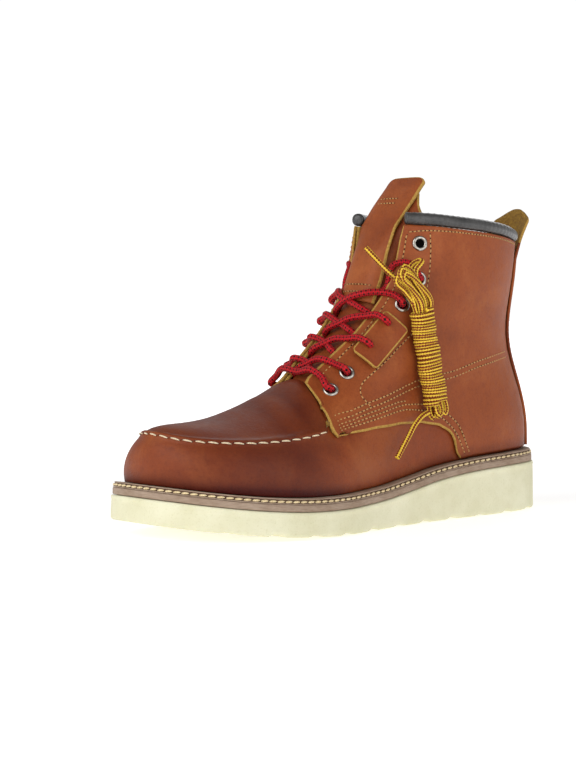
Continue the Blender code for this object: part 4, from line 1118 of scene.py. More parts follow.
# Tongue and its strip
# A wide leather gusset whose wings lie inside the quarters, and a raw-edged strip laid on
# it, sewn across its top and its lower end. Both show their suede flesh side behind.
TONGUE_WALL = 2.0 * MM
STRAP = 1.7 * MM                # back strip, pull tab and tongue strip
STRIP_FROM = 4.0
STRIP_GAP = 0.9 * MM
TONGUE_ACROSS = 24
# the tongue's middle line, from the throat to the tip
TONGUE_LINE = [
    # back, up, half width of the tongue, half width of its strip
    (0.6373, 0.4385, 0.078, 0.000),
    (0.5980, 0.5161, 0.122, 0.000),
    (0.5458, 0.6054, 0.174, 0.000),
    (0.5000, 0.6989, 0.217, 0.000),
    (0.4690, 0.8121, 0.209, 0.122),
    (0.4510, 0.9289, 0.222, 0.122),
    (0.4281, 1.0359, 0.230, 0.123),
    (0.3987, 1.1316, 0.235, 0.126),
    (0.3676, 1.2116, 0.183, 0.130),
    (0.3366, 1.2863, 0.113, 0.135),
    (0.3170, 1.3347, 0.104, 0.139),
]


def tongue_frames():
    """For each row: middle point, direction inward, widths, and how the face falls away."""
    rows = []
    for back, up, half, strip in TONGUE_LINE:
        rows.append([place(0.0, back, up), half * BALL_WIDTH, strip * BALL_WIDTH])
    js = np.arange(4.0, 10.01, 0.125)
    hs = np.linspace(0.35, 1.0, 40)
    cloud = np.array([off_wall(j, h, -WALL) for k in js for j in (k, LOOP - k) for h in hs])
    cloud[:, 0] = np.abs(cloud[:, 0])
    frames = []
    last = None
    for i, (m, half, strip) in enumerate(rows):
        t = rows[min(i + 1, len(rows) - 1)][0] - rows[max(i - 1, 0)][0]
        t /= np.linalg.norm(t)
        d = np.array([0.0, t[2], -t[1]])
        rel = cloud - m
        near = (np.abs(rel @ t) < 3.0 * MM) & (rel @ d > -5 * MM)
        x, drop = rel[near][:, 0], (rel @ d)[near]
        if len(x) > 12 and x.min() < 0.22 * BALL_WIDTH:
            x0 = x.min() - 0.3 * MM
            xs = [x0]
            ds = [max(float(drop[x < x0 + 1.6 * MM].max()), 0.0) + 1.0 * MM]
            for x1 in np.arange(x0 + 3.0 * MM, half + 4.0 * MM, 3.0 * MM):
                band = drop[np.abs(x - x1) < 1.8 * MM]
                xs.append(x1)
                level = float(band.max()) + 1.0 * MM if len(band) else ds[-1] + 3.0 * MM
                ds.append(max(level, ds[-1] + 0.3 * MM))
            last = (x0, np.array(xs), np.array(ds))
        frames.append([m, d, half, strip, last])
    for i in range(len(frames) - 2, -1, -1):
        if frames[i][4] is None:
            frames[i][4] = frames[i + 1][4]
    return frames


FRAMES = tongue_frames()


def fall(frame, x):
    x0, xs, ds = frame[4]
    x = abs(x)
    if x < x0:
        return ds[0] * (x / x0) ** 4
    return float(np.interp(x, xs, ds))


def tongue_point(row, x, lift=0.0):
    """Point over the tongue's outer face at a row of its table (whole or part), x aside."""
    i = int(np.clip(math.floor(row), 0, len(FRAMES) - 2))
    f = row - i
    pts = [k[0] + np.array([x, 0.0, 0.0]) + k[1] * (fall(k, x) - lift) for k in FRAMES[i:i + 2]]
    return pts[0] * (1 - f) + pts[1] * f


def half_width(row, col):
    """Half width of the tongue (col 2) or its strip (col 3) at a row of the table, whole or part."""
    return float(np.interp(row, range(len(FRAMES)), [f[col] for f in FRAMES]))


def tongue_leather(name, first, last, col, lift, thick, offset, mat, curl=0.0, round_top=0.0):
    bm = bmesh.new()
    painted_light_and_tone = []
    grid = []
    rows = np.linspace(first, last - 0.5, int((last - first) * 8))
    for q in np.r_[rows, last + np.array([-0.4, -0.3, -0.2, -0.12, -0.06, 0.0])]:
        half = half_width(q, col)
        end = max(0.0, (q - last + 0.45) / 0.45)
        half *= 1.0 - round_top * (1.0 - math.sqrt(max(0.0, 1.0 - end * end * 0.9)))
        row = []
        cut = 1.0 - 1.2 * MM / half
        for u in np.r_[-1.0, np.linspace(-cut, cut, TONGUE_ACROSS - 1), 1.0]:
            x = u * half
            wave = 0.0
            if curl:
                wave = 0.35 * MM * math.sin(q * 2.1 + 0.5) * u
                x += 3.2 * MM * min(u, 0.0) * math.exp(-((q - 6.3) / 1.2) ** 2)
            row.append(bm.verts.new(tuple(tongue_point(q, x, lift + curl * u * u + wave))))
            painted_light_and_tone.append(0.5 + 0.1 * math.sin(q * 1.7))
        grid.append(row)
    rows = skin(bm, grid)
    for face in [faces[-1] for faces in rows] + rows[-1]:
        face.material_index = 1
    ob = leather_sheet(name, bm, (mat, EDGE, SUEDE), painted_light_and_tone, thick, offset)
    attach(ob, "root")
    return ob


def tongue():
    base = tongue_leather("tongue_gusset", 0.0, 9.0, 2, 0.0, TONGUE_WALL, -1, VAMP)
    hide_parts("tongue")
    strip = tongue_leather("tongue_strip_leather", STRIP_FROM, 10.0, 3, STRIP_GAP, STRAP, 1, SHAFT,
                           curl=0.5 * MM, round_top=0.5)
    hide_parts("tongue_strip")
    top = STRIP_GAP + STRAP + 0.3 * MM
    for q, name in ((4.35, "low"), (4.62, "low_b"), (8.42, "top"), (8.16, "top_b")):
        half = half_width(q, 3) - 2.5 * MM
        xs = np.linspace(-half, 0.25 * half if q > 8.0 else half, 24)
        points = [tongue_point(q, x, top) for x in xs]
        normals = [tongue_point(q, x, top + 1 * MM) - tongue_point(q, x, top) for x in xs]
        stitch_row("tongue_stitches_" + name, points, normals, PANEL_THREAD, pitch=2.6 * MM, fill=0.7,
                   width=0.8, rise=0.42)


tongue()

# Back strip and pull tab
# One leather strap up the heel seam, sewn down both sides and left free above the collar,
# where its suede side turns inward.
STRIP_HALF = [
    # height share, half width of the strip
    (0.0, 0.165),
    (0.25, 0.143),
    (0.6, 0.139),
    (0.85, 0.143),
    (1.0, 0.135),
]
TAB_RISE = 24.0 * MM
TAB_LEAN = 11.0 * MM
TAB_HALF = 14.0 * MM
BACK_LIFT = QUARTER_GAP + LAYER + 2 * CLEAR


def strap_row(h, shares, lift, inset=0.0):
    """Points over the heel at height share h, at shares of the strip's half width aside, and
    their columns."""
    js = np.arange(-2.5, 2.51, 0.1)
    d = distance(np.array([off_wall(j, h, BACK_LIFT) for j in js]))
    table = np.array(STRIP_HALF)
    half = float(smooth(table[:, 0], table[:, 1], h)) * BALL_WIDTH - inset
    push = max(0.0, (h - 0.9) * 10 * 1.8 * MM)
    at = np.interp(np.array(shares) * half, d - d[len(js) // 2], js)
    return [off_wall(float(j), h, BACK_LIFT - 0.3 * MM + push + lift) for j in at], at


def back_strap():
    us = np.r_[-1.0, np.linspace(-0.92, 0.92, 23), 1.0]
    rows = [strap_row(h, us, 0.0)[0] for h in np.r_[0.012, np.linspace(0.04, 1.0, 40)]]
    top = rows[-1]
    yc, zc = top[len(us) // 2][1:]
    half = abs(top[-1][0])
    fold = yc - top[-1][1]
    for f in np.r_[np.linspace(0.06, 0.9, 13), 0.94, 0.97, 1.0]:
        w = half + (TAB_HALF - half) * min(1.0, f * 1.3)
        if f > 0.72:
            w *= 1.0 - 0.34 * (1.0 - math.sqrt(max(0.0, 1.0 - ((f - 0.72) / 0.28) ** 2)))
        row = []
        for i, u in enumerate(us):
            y = yc + TAB_LEAN * f ** 1.3 - fold * (1 - 0.65 * f) * u * u + 0.8 * MM * math.sin(3.0 * f) * u
            z = zc + TAB_RISE * f * (1.0 - 0.06 * u * u * f) + (top[i][2] - zc) * (1 - f)
            z -= 4.0 * MM * abs(u) ** 3 * f ** 5
            row.append((w * u, y, z))
        rows.append(row)
    bm = bmesh.new()
    grid = [[bm.verts.new(tuple(p)) for p in row] for row in rows]
    for r, faces in enumerate(skin(bm, grid)):
        for i, face in enumerate(faces):
            if r > 40 and (i in (0, len(faces) - 1) or r == len(grid) - 2):
                face.material_index = 1
    painted_light_and_tone = [0.5 + 0.25 * math.sin(k * 0.01) for k in range(len(bm.verts))]
    ob = leather_sheet("back_strap", bm, (SHAFT, EDGE, SUEDE), painted_light_and_tone, STRAP, 1)
    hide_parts("back_strip")
    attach(ob, "root")
    for side, word in ((1, "outer"), (-1, "inner")):
        points = []
        normals = []
        for h in np.linspace(0.03, 0.97, 90):
            spots, at = strap_row(h, [side], STRAP, 2.2 * MM)
            points.append(spots[0])
            normals.append(wall_normal(float(at[0]), h))
        stitch_row("strap_stitches_" + word, points, normals, PANEL_THREAD, pitch=3.0 * MM, fill=0.72,
                   width=0.8, rise=0.42)


back_strap()

# Collar binding
# A padded roll of thin dark leather, folded over the raw collar and sewn under its edge;
# fine puckers run across it.
BINDING_H = 7.6 * MM
BINDING_W = 7.6 * MM
ROLL_SIDES = 18


def binding_leather():
    mat, shader, where = blank("dark binding leather")
    cloud = noise(mat, where, 12.0, 5.0)
    grain = add(mat, "ShaderNodeTexVoronoi", {"Scale": 1000.0 / 1.1, "feature": "SMOOTH_F1"},
                {"Vector": where}).outputs["Distance"]
    crease = noise(mat, where, 1.8, 7.0, 0.7, 1.2)
    colour = ramp(mat, cloud, [(0.3, "2b2a29"), (0.7, "454342")])
    # painted shade: the creases darkened where they are deepest
    colour = mix(mat, "MULTIPLY", 0.6, colour, ramp(mat, crease, [(0.35, "8a8886"), (0.55, "ffffff")]))
    surface(mat, shader, colour, 0.38)
    shader.inputs["Coat Weight"].default_value = 0.3
    shader.inputs["Coat Roughness"].default_value = 0.28
    bumps(mat, shader, [(crease, 0.16), (grain, 0.07)])
    return mat


def collar_roll(word, side, mat):
    js = np.linspace(0.86, 5.97, 110)
    a = BINDING_W / 2
    b = BINDING_H / 2
    up = np.array([0.0, 0.0, 1.0])
    crest = np.array([wall_point(side_row(j, side), 1.0) for j in js]) + up * 0.4 * MM
    bm = bmesh.new()
    rows = []
    for c, (j, p, d) in enumerate(zip(js, crest, distance(crest))):
        n = wall_normal(side_row(j, side), 0.97)
        n[2] = 0.0
        n /= np.linalg.norm(n)
        d = 2 * math.pi * d / MM
        pucker = 1.0 + 0.022 * math.sin(d / 4.3) + 0.012 * math.sin(d / 1.9)
        pucker *= min(1.0, min(c, len(js) - 1 - c) / 2.0 + 0.55)
        ring = []
        for k in range(ROLL_SIDES):
            w = 2 * math.pi * k / ROLL_SIDES
            x = math.copysign(abs(math.cos(w)) ** 0.86 * a, math.cos(w))
            ring.append(bm.verts.new(tuple(p + n * x * pucker + up * (b + b * math.sin(w) * pucker))))
        rows.append(ring)
    skin(bm, rows, True)
    bm.faces.new(rows[0])
    bm.faces.new(rows[-1])
    ob = solid_object("collar_roll_" + word, bm, [mat])
    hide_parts("collar_binding_" + word)
    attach(ob, "root")


BINDING = binding_leather()
collar_roll("outer", 1, BINDING)
collar_roll("inner", -1, BINDING)

# Eyelets
# Rolled brass rings with a dark nickel plate, seven a side, pressed through both leathers.
# A near-black disc closes each one, painted shade for the dark of the shoe seen through them.


def dark_nickel():
    mat, shader, where = blank("dark nickel plate")
    rub = noise(mat, where, 1.5, 4.0)
    colour = ramp(mat, rub, [(0.3, "8d8880"), (0.7, "c6c1b8")])
    mat.node_tree.links.new(colour, shader.inputs["Base Color"])
    shader.inputs["Metallic"].default_value = 1.0
    rough = add(mat, "ShaderNodeMapRange", {"To Min": 0.16, "To Max": 0.30}, {"Value": rub}).outputs[0]
    mat.node_tree.links.new(rough, shader.inputs["Roughness"])
    bumps(mat, shader, [(noise(mat, where, 0.5, 3.0), 0.02)])
    return mat


# painted shade: near-black for the disc closing each eyelet, where the shoe's dark inside shows
def eyelet_shade():
    mat, shader, _ = two_tone("painted shade inside the eyelet", 1.0, 2.0, "040303", "0a0706", 0.95)
    shader.inputs["Specular IOR Level"].default_value = 0.05
    return mat


EYELET_R = 4.75 * MM
EYELET_HOLE_R = 2.6 * MM
LATHE_STEPS = 40
EYELET_AT = [
    # column row, height share on it
    (9.824, 0.8327),
    (9.043, 0.8242),
    (8.184, 0.8262),
    (7.500, 0.8262),
    (6.784, 0.8040),
    (5.723, 0.8008),
    (5.482, 0.9271),
]
ON_QUARTER = QUARTER_GAP + LAYER


def frame_at(point, normal):
    z = Vector(normal).normalized()
    x = Vector((0.0, 0.0, 1.0)).cross(z).normalized()
    y = z.cross(x)
    m = Matrix((x, y, z)).transposed().to_4x4()
    m.translation = Vector(point)
    return m


def lathe(bm, profile, m, slot=0):
    """Turns (radius, height) pairs round the matrix's own z; returns the last ring."""
    turns = np.linspace(0, 2 * math.pi, LATHE_STEPS, endpoint=False)
    rings = [[bm.verts.new(m @ Vector((r * math.cos(w), r * math.sin(w), z))) for w in turns]
             for r, z in profile]
    for faces in skin(bm, rings, True):
        for face in faces:
            face.material_index = slot
    return rings[-1]


def eyelets():
    nickel = dark_nickel()
    dark = eyelet_shade()
    r1, r2 = EYELET_HOLE_R, EYELET_R
    dome = [(r1, -0.2 * MM), (r1 - 0.05 * MM, 0.35 * MM), (r1 + 0.15 * MM, 0.80 * MM),
            (r1 + 0.6 * MM, 1.12 * MM), (r1 + 1.1 * MM, 1.18 * MM), (r2 - 0.5 * MM, 0.92 * MM),
            (r2 - 0.08 * MM, 0.45 * MM), (r2, 0.05 * MM), (r2 - 0.3 * MM, -0.1 * MM)]
    for side, word in ((1, "outer"), (-1, "inner")):
        for i, (j, h) in enumerate(EYELET_AT):
            jj = side_row(j, side)
            n = wall_normal(jj, h)
            at = wall_point(jj, h)
            m = frame_at(at + n * (FACE_LIFT + float(sag([at])[0])), n)
            bm = bmesh.new()
            lathe(bm, dome, m)
            # the floor disc takes the painted shade
            floor = lathe(bm, [(r1 + 0.05 * MM, 0.12 * MM), (0.02 * MM, 0.10 * MM)], m, 1)
            bm.faces.new(floor).material_index = 1
            name = "eyelet_%s_%d" % (word, i + 1)
            ob = solid_object("ring_" + name, bm, [nickel, dark])
            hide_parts(name)
            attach(ob, "root")


eyelets()

# Leather tag
# A blank offcut of the oiled leather with raw gold edges, held by the third and fourth rows
# of lace over the outer eyelets.
TAG_CORNERS = [
    # column row, height share
    (7.448, 0.903),
    (6.745, 0.667),
    (8.268, 0.676),
    (8.639, 0.904),
]
TAG_LIFT = ON_QUARTER + 2.6 * MM
TAG_THICK = 1.6 * MM


def leather_tag():
    c = [off_wall(j, h, TAG_LIFT) for j, h in TAG_CORNERS]
    n = np.cross(c[1] - c[0], c[3] - c[0])
    n /= np.linalg.norm(n)
    if n[0] < 0:
        n = -n
    bm = bmesh.new()
    rows = []
    for a in np.r_[0.0, np.linspace(0.024, 0.976, 25), 1.0]:
        row = []
        for b in np.r_[0.0, np.linspace(0.038, 0.962, 15), 1.0]:
            ua, ub = 2 * a - 1, 2 * b - 1
            tight = max(0.0, abs(ua) - 0.88) / 0.12
            wide = max(0.0, abs(ub) - 0.80) / 0.20
            bb = 0.5 + (b - 0.5) * (1.0 - 0.10 * tight * tight)
            aa = 0.5 + (a - 0.5) * (1.0 - 0.05 * wide * wide)
            p = (c[0] * (1 - bb) + c[1] * bb) * (1 - aa) + (c[3] * (1 - bb) + c[2] * bb) * aa
            rise = 0.9 * MM * (1 - (2 * bb - 1) ** 2)
            border = min(abs(abs(ua) - 0.86) * 17.0, abs(abs(ub) - 0.76) * 9.0)
            if abs(ua) < 0.90 and abs(ub) < 0.82:
                rise -= 0.22 * MM * math.exp(-(border / 0.8) ** 2)
            row.append(bm.verts.new(tuple(p + n * rise)))
        rows.append(row)
    for r, faces in enumerate(skin(bm, rows)):
        for i, face in enumerate(faces):
            if r in (0, len(rows) - 2) or i in (0, len(faces) - 1):
                face.material_index = 1
    ob = leather_sheet("plain_tag", bm, (VAMP, EDGE, SUEDE), [0.5] * len(bm.verts), TAG_THICK, 1)
    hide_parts("lace_tag")
    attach(ob, "root")


leather_tag()

# Laces
# Round red polyester cord, braided over a core, with black flecks. It crosses the tongue
# row by row and goes down through the eyelets; the top pair is left free.


def braid_mesh(name, line, radius, mat, around=16, step=None, strands=8):
    """A braided cord: a tube whose skin is lifted along two crossing sets of strands."""
    pts = np.array(line, float)
    d = distance(pts)
    step = step or radius * 0.36
    n = max(6, int(d[-1] / step) + 1)
    q = np.linspace(0, d[-1], n)
    p = np.c_[np.interp(q, d, pts[:, 0]), np.interp(q, d, pts[:, 1]), np.interp(q, d, pts[:, 2])]
    t = np.gradient(p, axis=0)
    t /= np.linalg.norm(t, axis=1)[:, None]
    side = np.cross(t[0], [0.0, 0.0, 1.0])
    if np.linalg.norm(side) < 0.1:
        side = np.cross(t[0], [0.0, 1.0, 0.0])
    bm = bmesh.new()
    uv = bm.loops.layers.uv.new("braid")
    rings = []
    for i in range(n):
        side = side - t[i] * (side @ t[i])
        side /= np.linalg.norm(side)
        other = np.cross(t[i], side)
        ring = []
        for k in range(around):
            w = 2 * math.pi * k / around
            a = strands / 2 * w
            b = 2 * math.pi * q[i] / (2.2 * radius)
            reach = radius * (1.0 + 0.055 * math.cos(a + b) * math.cos(a - b))
            ring.append(bm.verts.new(tuple(p[i] + (side * math.cos(w) + other * math.sin(w)) * reach)))
        rings.append(ring)
    turn = 2 * math.pi * radius
    for i, faces in enumerate(skin(bm, rings, True)):
        for k, face in enumerate(faces):
            for loop, (u, v) in zip(face.loops, ((k, i), (k + 1, i), (k + 1, i + 1), (k, i + 1))):
                loop[uv].uv = (u / around, q[v] / turn)
    bm.faces.new(rings[0])
    bm.faces.new(rings[-1])
    bmesh.ops.recalc_face_normals(bm, faces=bm.faces)
    return smooth_object(name, bm, [mat])


def braid_blank(name):
    """A new cord material: its shader, its place round and along the cord, its fuzz, and calc,
    which makes a math node fed by numbers and other nodes' values."""
    mat, shader, where = blank(name)
    spot = add(mat, "ShaderNodeUVMap", {"uv_map": "braid"}).outputs["UV"]
    parts = add(mat, "ShaderNodeSeparateXYZ", None, {"Vector": spot})

    def calc(kind, *inputs):
        made = add(mat, "ShaderNodeMath", {"operation": kind})
        for k, value in enumerate(inputs):
            if isinstance(value, float):
                made.inputs[k].default_value = value
            else:
                mat.node_tree.links.new(value, made.inputs[k])
        return made.outputs[0]

    shader.inputs["Specular IOR Level"].default_value = 0.3
    return mat, shader, parts.outputs["X"], parts.outputs["Y"], noise(mat, where, 0.35, 3.0, 0.7), calc


def red_yarn():
    """Braided red polyester: two crossing sets of yarns, black flecks where two black ones meet, painted
    shade in the low places between yarns.
    """
    mat, shader, u, v, fuzz, calc = braid_blank("red braided lace")
    su = calc("MULTIPLY", u, 3.0)
    sv = calc("MULTIPLY", v, 4.6)
    first = calc("ABSOLUTE", calc("SUBTRACT", calc("FRACT", calc("ADD", su, sv)), 0.5))
    second = calc("ABSOLUTE", calc("SUBTRACT", calc("FRACT", calc("SUBTRACT", su, sv)), 0.5))
    yarn = calc("MULTIPLY", calc("SUBTRACT", 0.5, first), 2.0)
    weft = calc("MULTIPLY", calc("SUBTRACT", 0.5, second), 2.0)
    height = calc("MAXIMUM", yarn, weft)
    fleck = calc("MULTIPLY", calc("LESS_THAN", first, 0.23), calc("LESS_THAN", second, 0.23))
    base = ramp(mat, fuzz, [(0.3, "ab0a16"), (0.7, "d41824")])
    # painted shade: darker where the braid is lowest, between the yarns
    base = mix(mat, "MULTIPLY", 0.7, base, ramp(mat, height, [(0.15, "5a5048"), (0.75, "ffffff")]))
    surface(mat, shader, mix(mat, "MIX", fleck, base, tone("140203")), 0.72)
    bumps(mat, shader, [(height, 0.35), (fuzz, 0.08)])
    return mat


RED_BRAID = red_yarn()
LACE_D = 3.6 * MM
LACE_R = LACE_D / 2
CORD_STEP = 0.5 * MM
SPARE_D = 3.2 * MM              # spare lace of the hank


def on_tongue(row, x, lift):
    """A point over the tongue's middle stretch, above the strip where it has one."""
    strip = STRIP_GAP + STRAP if row > STRIP_FROM - 0.3 else 0.0
    return tongue_point(row, x, lift + strip)


CROSSINGS = [
    # lacing row, tongue row of its middle, step to its ends, facing columns over and under
    (2, 1.24, 0.28, 9.26, 9.71),
    (3, 2.19, 0.31, 8.50, 8.97),
    (4, 3.09, 0.30, 7.83, 8.27),
    (5, 3.94, 0.31, 7.33, 7.69),
]
# the sixth row goes under the tongue's strip: lacing row, column at the facing's edge, tongue row
UNDER_STRIP = (6, 6.74, 4.62)
SIXTH_ROW = [
    # side, its sign, thickness, lift over the facing, reach past the strip, height over the tongue
    ("outer", 1, 1.0, -2.4 * MM, 2.8 * MM, 4.6 * MM),
    ("inner", -1, 0.9, -4.2 * MM, 0.5 * MM, 4.2 * MM),
]


def hold_height(k, side):
    """Cord's middle over the wall beside its eyelet; the tag lies under two of the outer ones."""
    if side > 0 and k in (3, 4):
        return TAG_LIFT + 0.9 * MM + TAG_THICK + LACE_R + 1.4 * MM
    return ON_QUARTER + 1.25 * MM + LACE_R + 1.1 * MM


def strand(k, mid, step, over_j, under_j, side):
    """From an eyelet, across its facing's edge and the tongue, to under the far edge."""
    j, h = EYELET_AT[k - 1]
    jj = side_row(j, side)
    tagged = side > 0 and k in (3, 4)
    hold = hold_height(k, side)
    sink = TAG_LIFT if tagged else FACE_LIFT - 2.4 * MM
    out = wall_normal(jj, h)
    far = raw_point(under_j, 1.0)[0]
    lift = LACE_R + 1.4 * MM
    apart = side * np.array([0.0, -0.35, 0.35]) * LACE_R
    return [
        off_wall(jj, h, sink),
        off_wall(jj, h, (sink + hold) / 2),
        off_wall(side_row(j + 0.06, side), h + 0.015, hold),
        off_wall(side_row((j + over_j) / 2, side), (h + 1.0) / 2, hold - 0.2 * MM)
        - out * (1.5 if tagged else 2.4) * MM,
        off_wall(side_row(over_j, side), 1.0, ON_QUARTER + LACE_R + 3.3 * MM) - out * 3.8 * MM,
        on_tongue(mid + 0.45 * step, side * far * 0.45, lift + 0.9 * MM) + apart,
        on_tongue(mid, 0.0, lift) + apart,
        on_tongue(mid - 0.8 * step, -side * (far - 5.0 * MM), lift + 0.3 * MM),
        on_tongue(mid - 1.1 * step, -side * (far + 3.0 * MM), LACE_R * 0.6),
    ]


def cord_line(points):
    """Smooth line through a cord's points."""
    pts = np.array(points, float)
    d = distance(pts)
    n = max(8, int(d[-1] / CORD_STEP))
    return smooth(d, pts, np.linspace(0, d[-1], n))


def dive(j, h, side):
    """Two points straight up out of an eyelet."""
    jj = side_row(j, side)
    return [off_wall(jj, h, FACE_LIFT - 2.6 * MM), off_wall(jj, h, FACE_LIFT + 1.6 * MM)]


def laces():
    j, h = EYELET_AT[0]
    over = ON_QUARTER + 1.25 * MM + LACE_R + 0.4 * MM
    outer, inner = [dive(j, h, side) + [
        off_wall(side_row(j + 0.10, side), h + 0.02, over + 0.3 * MM),
        off_wall(side_row((j + 9.7) / 2, side), (1 + h) / 2, over),
        off_wall(side_row(9.72, side), 1.0, over - 0.3 * MM),
    ] for side in (1, -1)]
    middle = tongue_point(0.76, 0.0, LACE_R + 3.2 * MM)
    ob = braid_mesh("lace_row_1", cord_line(outer + [middle] + inner[::-1]), LACE_R * 1.12, RED_BRAID)
    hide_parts("lace_bar")
    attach(ob, "root")
    for k, mid, step, over_j, under_j in CROSSINGS:
        both = [braid_mesh("strand_%d_%s" % (k, word), cord_line(strand(k, mid, step, over_j, under_j, side)),
                           LACE_R * 1.12, RED_BRAID) for side, word in ((1, "outer"), (-1, "inner"))]
        for ob in both:
            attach(ob, "root")
        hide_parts("lace_crossing_%d" % k)
    k, edge, row = UNDER_STRIP
    j, h = EYELET_AT[k - 1]
    hold = hold_height(k, -1)
    strip = half_width(row, 3)
    for word, side, thick, lift, reach, over in SIXTH_ROW:
        line = dive(j, h, side) + [
            off_wall(side_row(j + 0.06, side), h + 0.012, hold + lift),
            off_wall(side_row((j + edge) / 2, side), (h + 1.0) / 2, hold + lift),
            off_wall(side_row(edge, side), 1.0, hold + lift),
            tongue_point(row, side * (strip + reach), over),
            tongue_point(row - 0.25, side * (strip - 1.0 * MM), 1.2 * MM),
        ]
        ob = braid_mesh("lace_row_6_" + word, cord_line(line), LACE_R * thick, RED_BRAID)
        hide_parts("lace_sixth_row_" + word)
        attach(ob, "root")


laces()

# Spare lace
# A yellow and brown braided lace folded to a few runs, bound round with turns of itself and
# hung on the sixth row; its two ends and one bight stand free.
HANK_W = 14.5 * MM
HANK_D = 11.0 * MM
WRAPS = 24                      # turns round the hank
TURN_STEPS = 28
HANK_TOP = Vector(off_wall(6.20, 0.700, ON_QUARTER + HANK_D / 2 + 1.9 * MM))
HANK_END = Vector(off_wall(5.07, 0.215, ON_QUARTER + HANK_D / 2 + 1.9 * MM))


def yellow_yarn():
    """Braided yellow polyester: two brown stripes along it, their edges notched by the braid; thin dark lines
    of painted shade where the braid is lowest.
    """
    mat, shader, u, v, fuzz, calc = braid_blank("yellow and brown braided lace")
    turned = calc("ADD", calc("MULTIPLY", u, 4.0), calc("MULTIPLY", v, 0.11))
    stripe = calc("ABSOLUTE", calc("SUBTRACT", calc("FRACT", turned), 0.5))
    beat = calc("ABSOLUTE", calc("SUBTRACT", calc("FRACT", calc("MULTIPLY", v, 6.0)), 0.5))
    brown = calc("LESS_THAN", stripe, calc("ADD", calc("MULTIPLY", beat, 0.66), 0.10))
    # brown stripes and, across them, painted shade where the braid's beat is lowest
    brown_and_valley_shade = calc("MAXIMUM", brown, calc("MULTIPLY", calc("LESS_THAN", beat, 0.07), 0.55))
    yellow = ramp(mat, fuzz, [(0.3, "e2b21c"), (0.7, "ffdf52")])
    dark = ramp(mat, fuzz, [(0.3, "571a07"), (0.7, "8c3413")])
    surface(mat, shader, mix(mat, "MIX", brown_and_valley_shade, yellow, dark), 0.7)
    bumps(mat, shader, [(beat, 0.3), (fuzz, 0.08)])
    return mat


YELLOW_BRAID = yellow_yarn()
# mm in the hank's frame: across, out
BIGHTS_BELOW = [(-3.6, -1.4), (-1.2, 2.2), (1.4, -1.6), (3.8, 1.6)]
BIGHTS_ABOVE = [
    # mm in the hank's frame: start and end across, out, peak's place across and height
    (-5.2, -1.0, 0.2, -15.0, 22.5),
    (-2.6, 2.0, 2.2, -13.0, 26.5),
    (0.2, 4.8, 0.8, -9.5, 28.0),
    (-1.0, 5.6, 3.2, -11.5, 24.0),
]


def hank_frame():
    """The hank's own axes, z up its length, and that length."""
    axis = HANK_END - HANK_TOP
    z = -axis.normalized()
    x = (Vector((1.0, 0.0, 0.0)) - z * z.x).normalized()
    y = z.cross(x)
    m = Matrix((x, y, z)).transposed().to_4x4()
    m.translation = (HANK_TOP + HANK_END) / 2
    return m, axis.length


def spare_hank():
    m, length = hank_frame()
    r = SPARE_D / 2
    half = length / 2
    top, low = half - 0.5 * MM, -half + 10.0 * MM
    line = []
    for i in range(WRAPS * TURN_STEPS):
        w = 2 * math.pi * i / TURN_STEPS
        turn = i / TURN_STEPS
        a = (HANK_D / 2 - r * 0.7) * (1.0 + 0.05 * math.sin(turn * 1.9) + 0.04 * math.sin(turn * 5.3 + 1.0))
        b = (HANK_W / 2 - r * 0.3) * (1.0 + 0.05 * math.sin(turn * 1.3 + 2.0))
        x = math.copysign(abs(math.cos(w)) ** 0.8, math.cos(w)) * a
        y = math.copysign(abs(math.sin(w)) ** 0.8, math.sin(w)) * b + 0.5 * MM * math.sin(turn * 0.7)
        z = top - (top - low) / WRAPS * turn + 0.35 * MM * math.sin(w * 0.5 + turn * 2.7)
        line.append(m @ Vector((x, y, z)))
    ob = braid_mesh("spare_hank_wraps", line, r * 0.84, YELLOW_BRAID, around=10, step=r * 0.62, strands=4)
    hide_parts("spare_lace_hank")
    pieces = [ob]
    # the runs inside, showing as bights below and as a bundle above
    for i, (y, x) in enumerate(BIGHTS_BELOW):
        deep = (-half + (1.8 + 1.4 * (i % 2)) * MM) / MM
        into = low / MM
        run = [
            (x * 0.7, y - 1.3, into + 4.0),
            (x, y - 1.6, into - 2.0),
            (x, y - 1.2, deep + 1.6),
            (x, y + 0.4, deep),
            (x, y + 1.9, deep + 1.6),
            (x, y + 2.2, into - 2.0),
            (x * 0.7, y + 1.6, into + 4.0),
        ]
        run = [tuple(m @ Vector((a * MM, b * MM, c * MM))) for a, b, c in run]
        pieces.append(braid_mesh("spare_hank_bight_%d" % i, cord_line(run), r * 0.95,
                                 YELLOW_BRAID, around=10, step=r * 0.5, strands=4))
    # bights above, leaning to the laces and hung over the red cord
    for i, (y0, y1, x0, peak, rise) in enumerate(BIGHTS_ABOVE):
        run = [
            (x0 * 0.4, y0 * 0.8, -4.0),
            (x0, y0 - 0.4, 4.0),
            (x0 + 0.6, 0.5 * (y0 + peak) - 1.5, 0.58 * rise),
            (x0 + 0.2, peak - 1.7, rise - 2.2),
            (x0 + 0.4, peak, rise),
            (x0 + 0.9, peak + 2.4, rise - 1.4),
            (x0 + 1.2, 0.5 * (y1 + peak) + 2.0, 0.60 * rise),
            (x0 + 0.6, y1, 4.0),
            (x0 * 0.4, y1 * 0.8, -4.0),
        ]
        run = [tuple(m @ Vector((x * MM, y * MM, half + z * MM))) for x, y, z in run]
        pieces.append(braid_mesh("spare_hank_run_%d" % i, cord_line(run), r * 0.88,
                                 YELLOW_BRAID, around=10, step=r * 0.5, strands=4))
    for ob in pieces:
        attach(ob, "root")


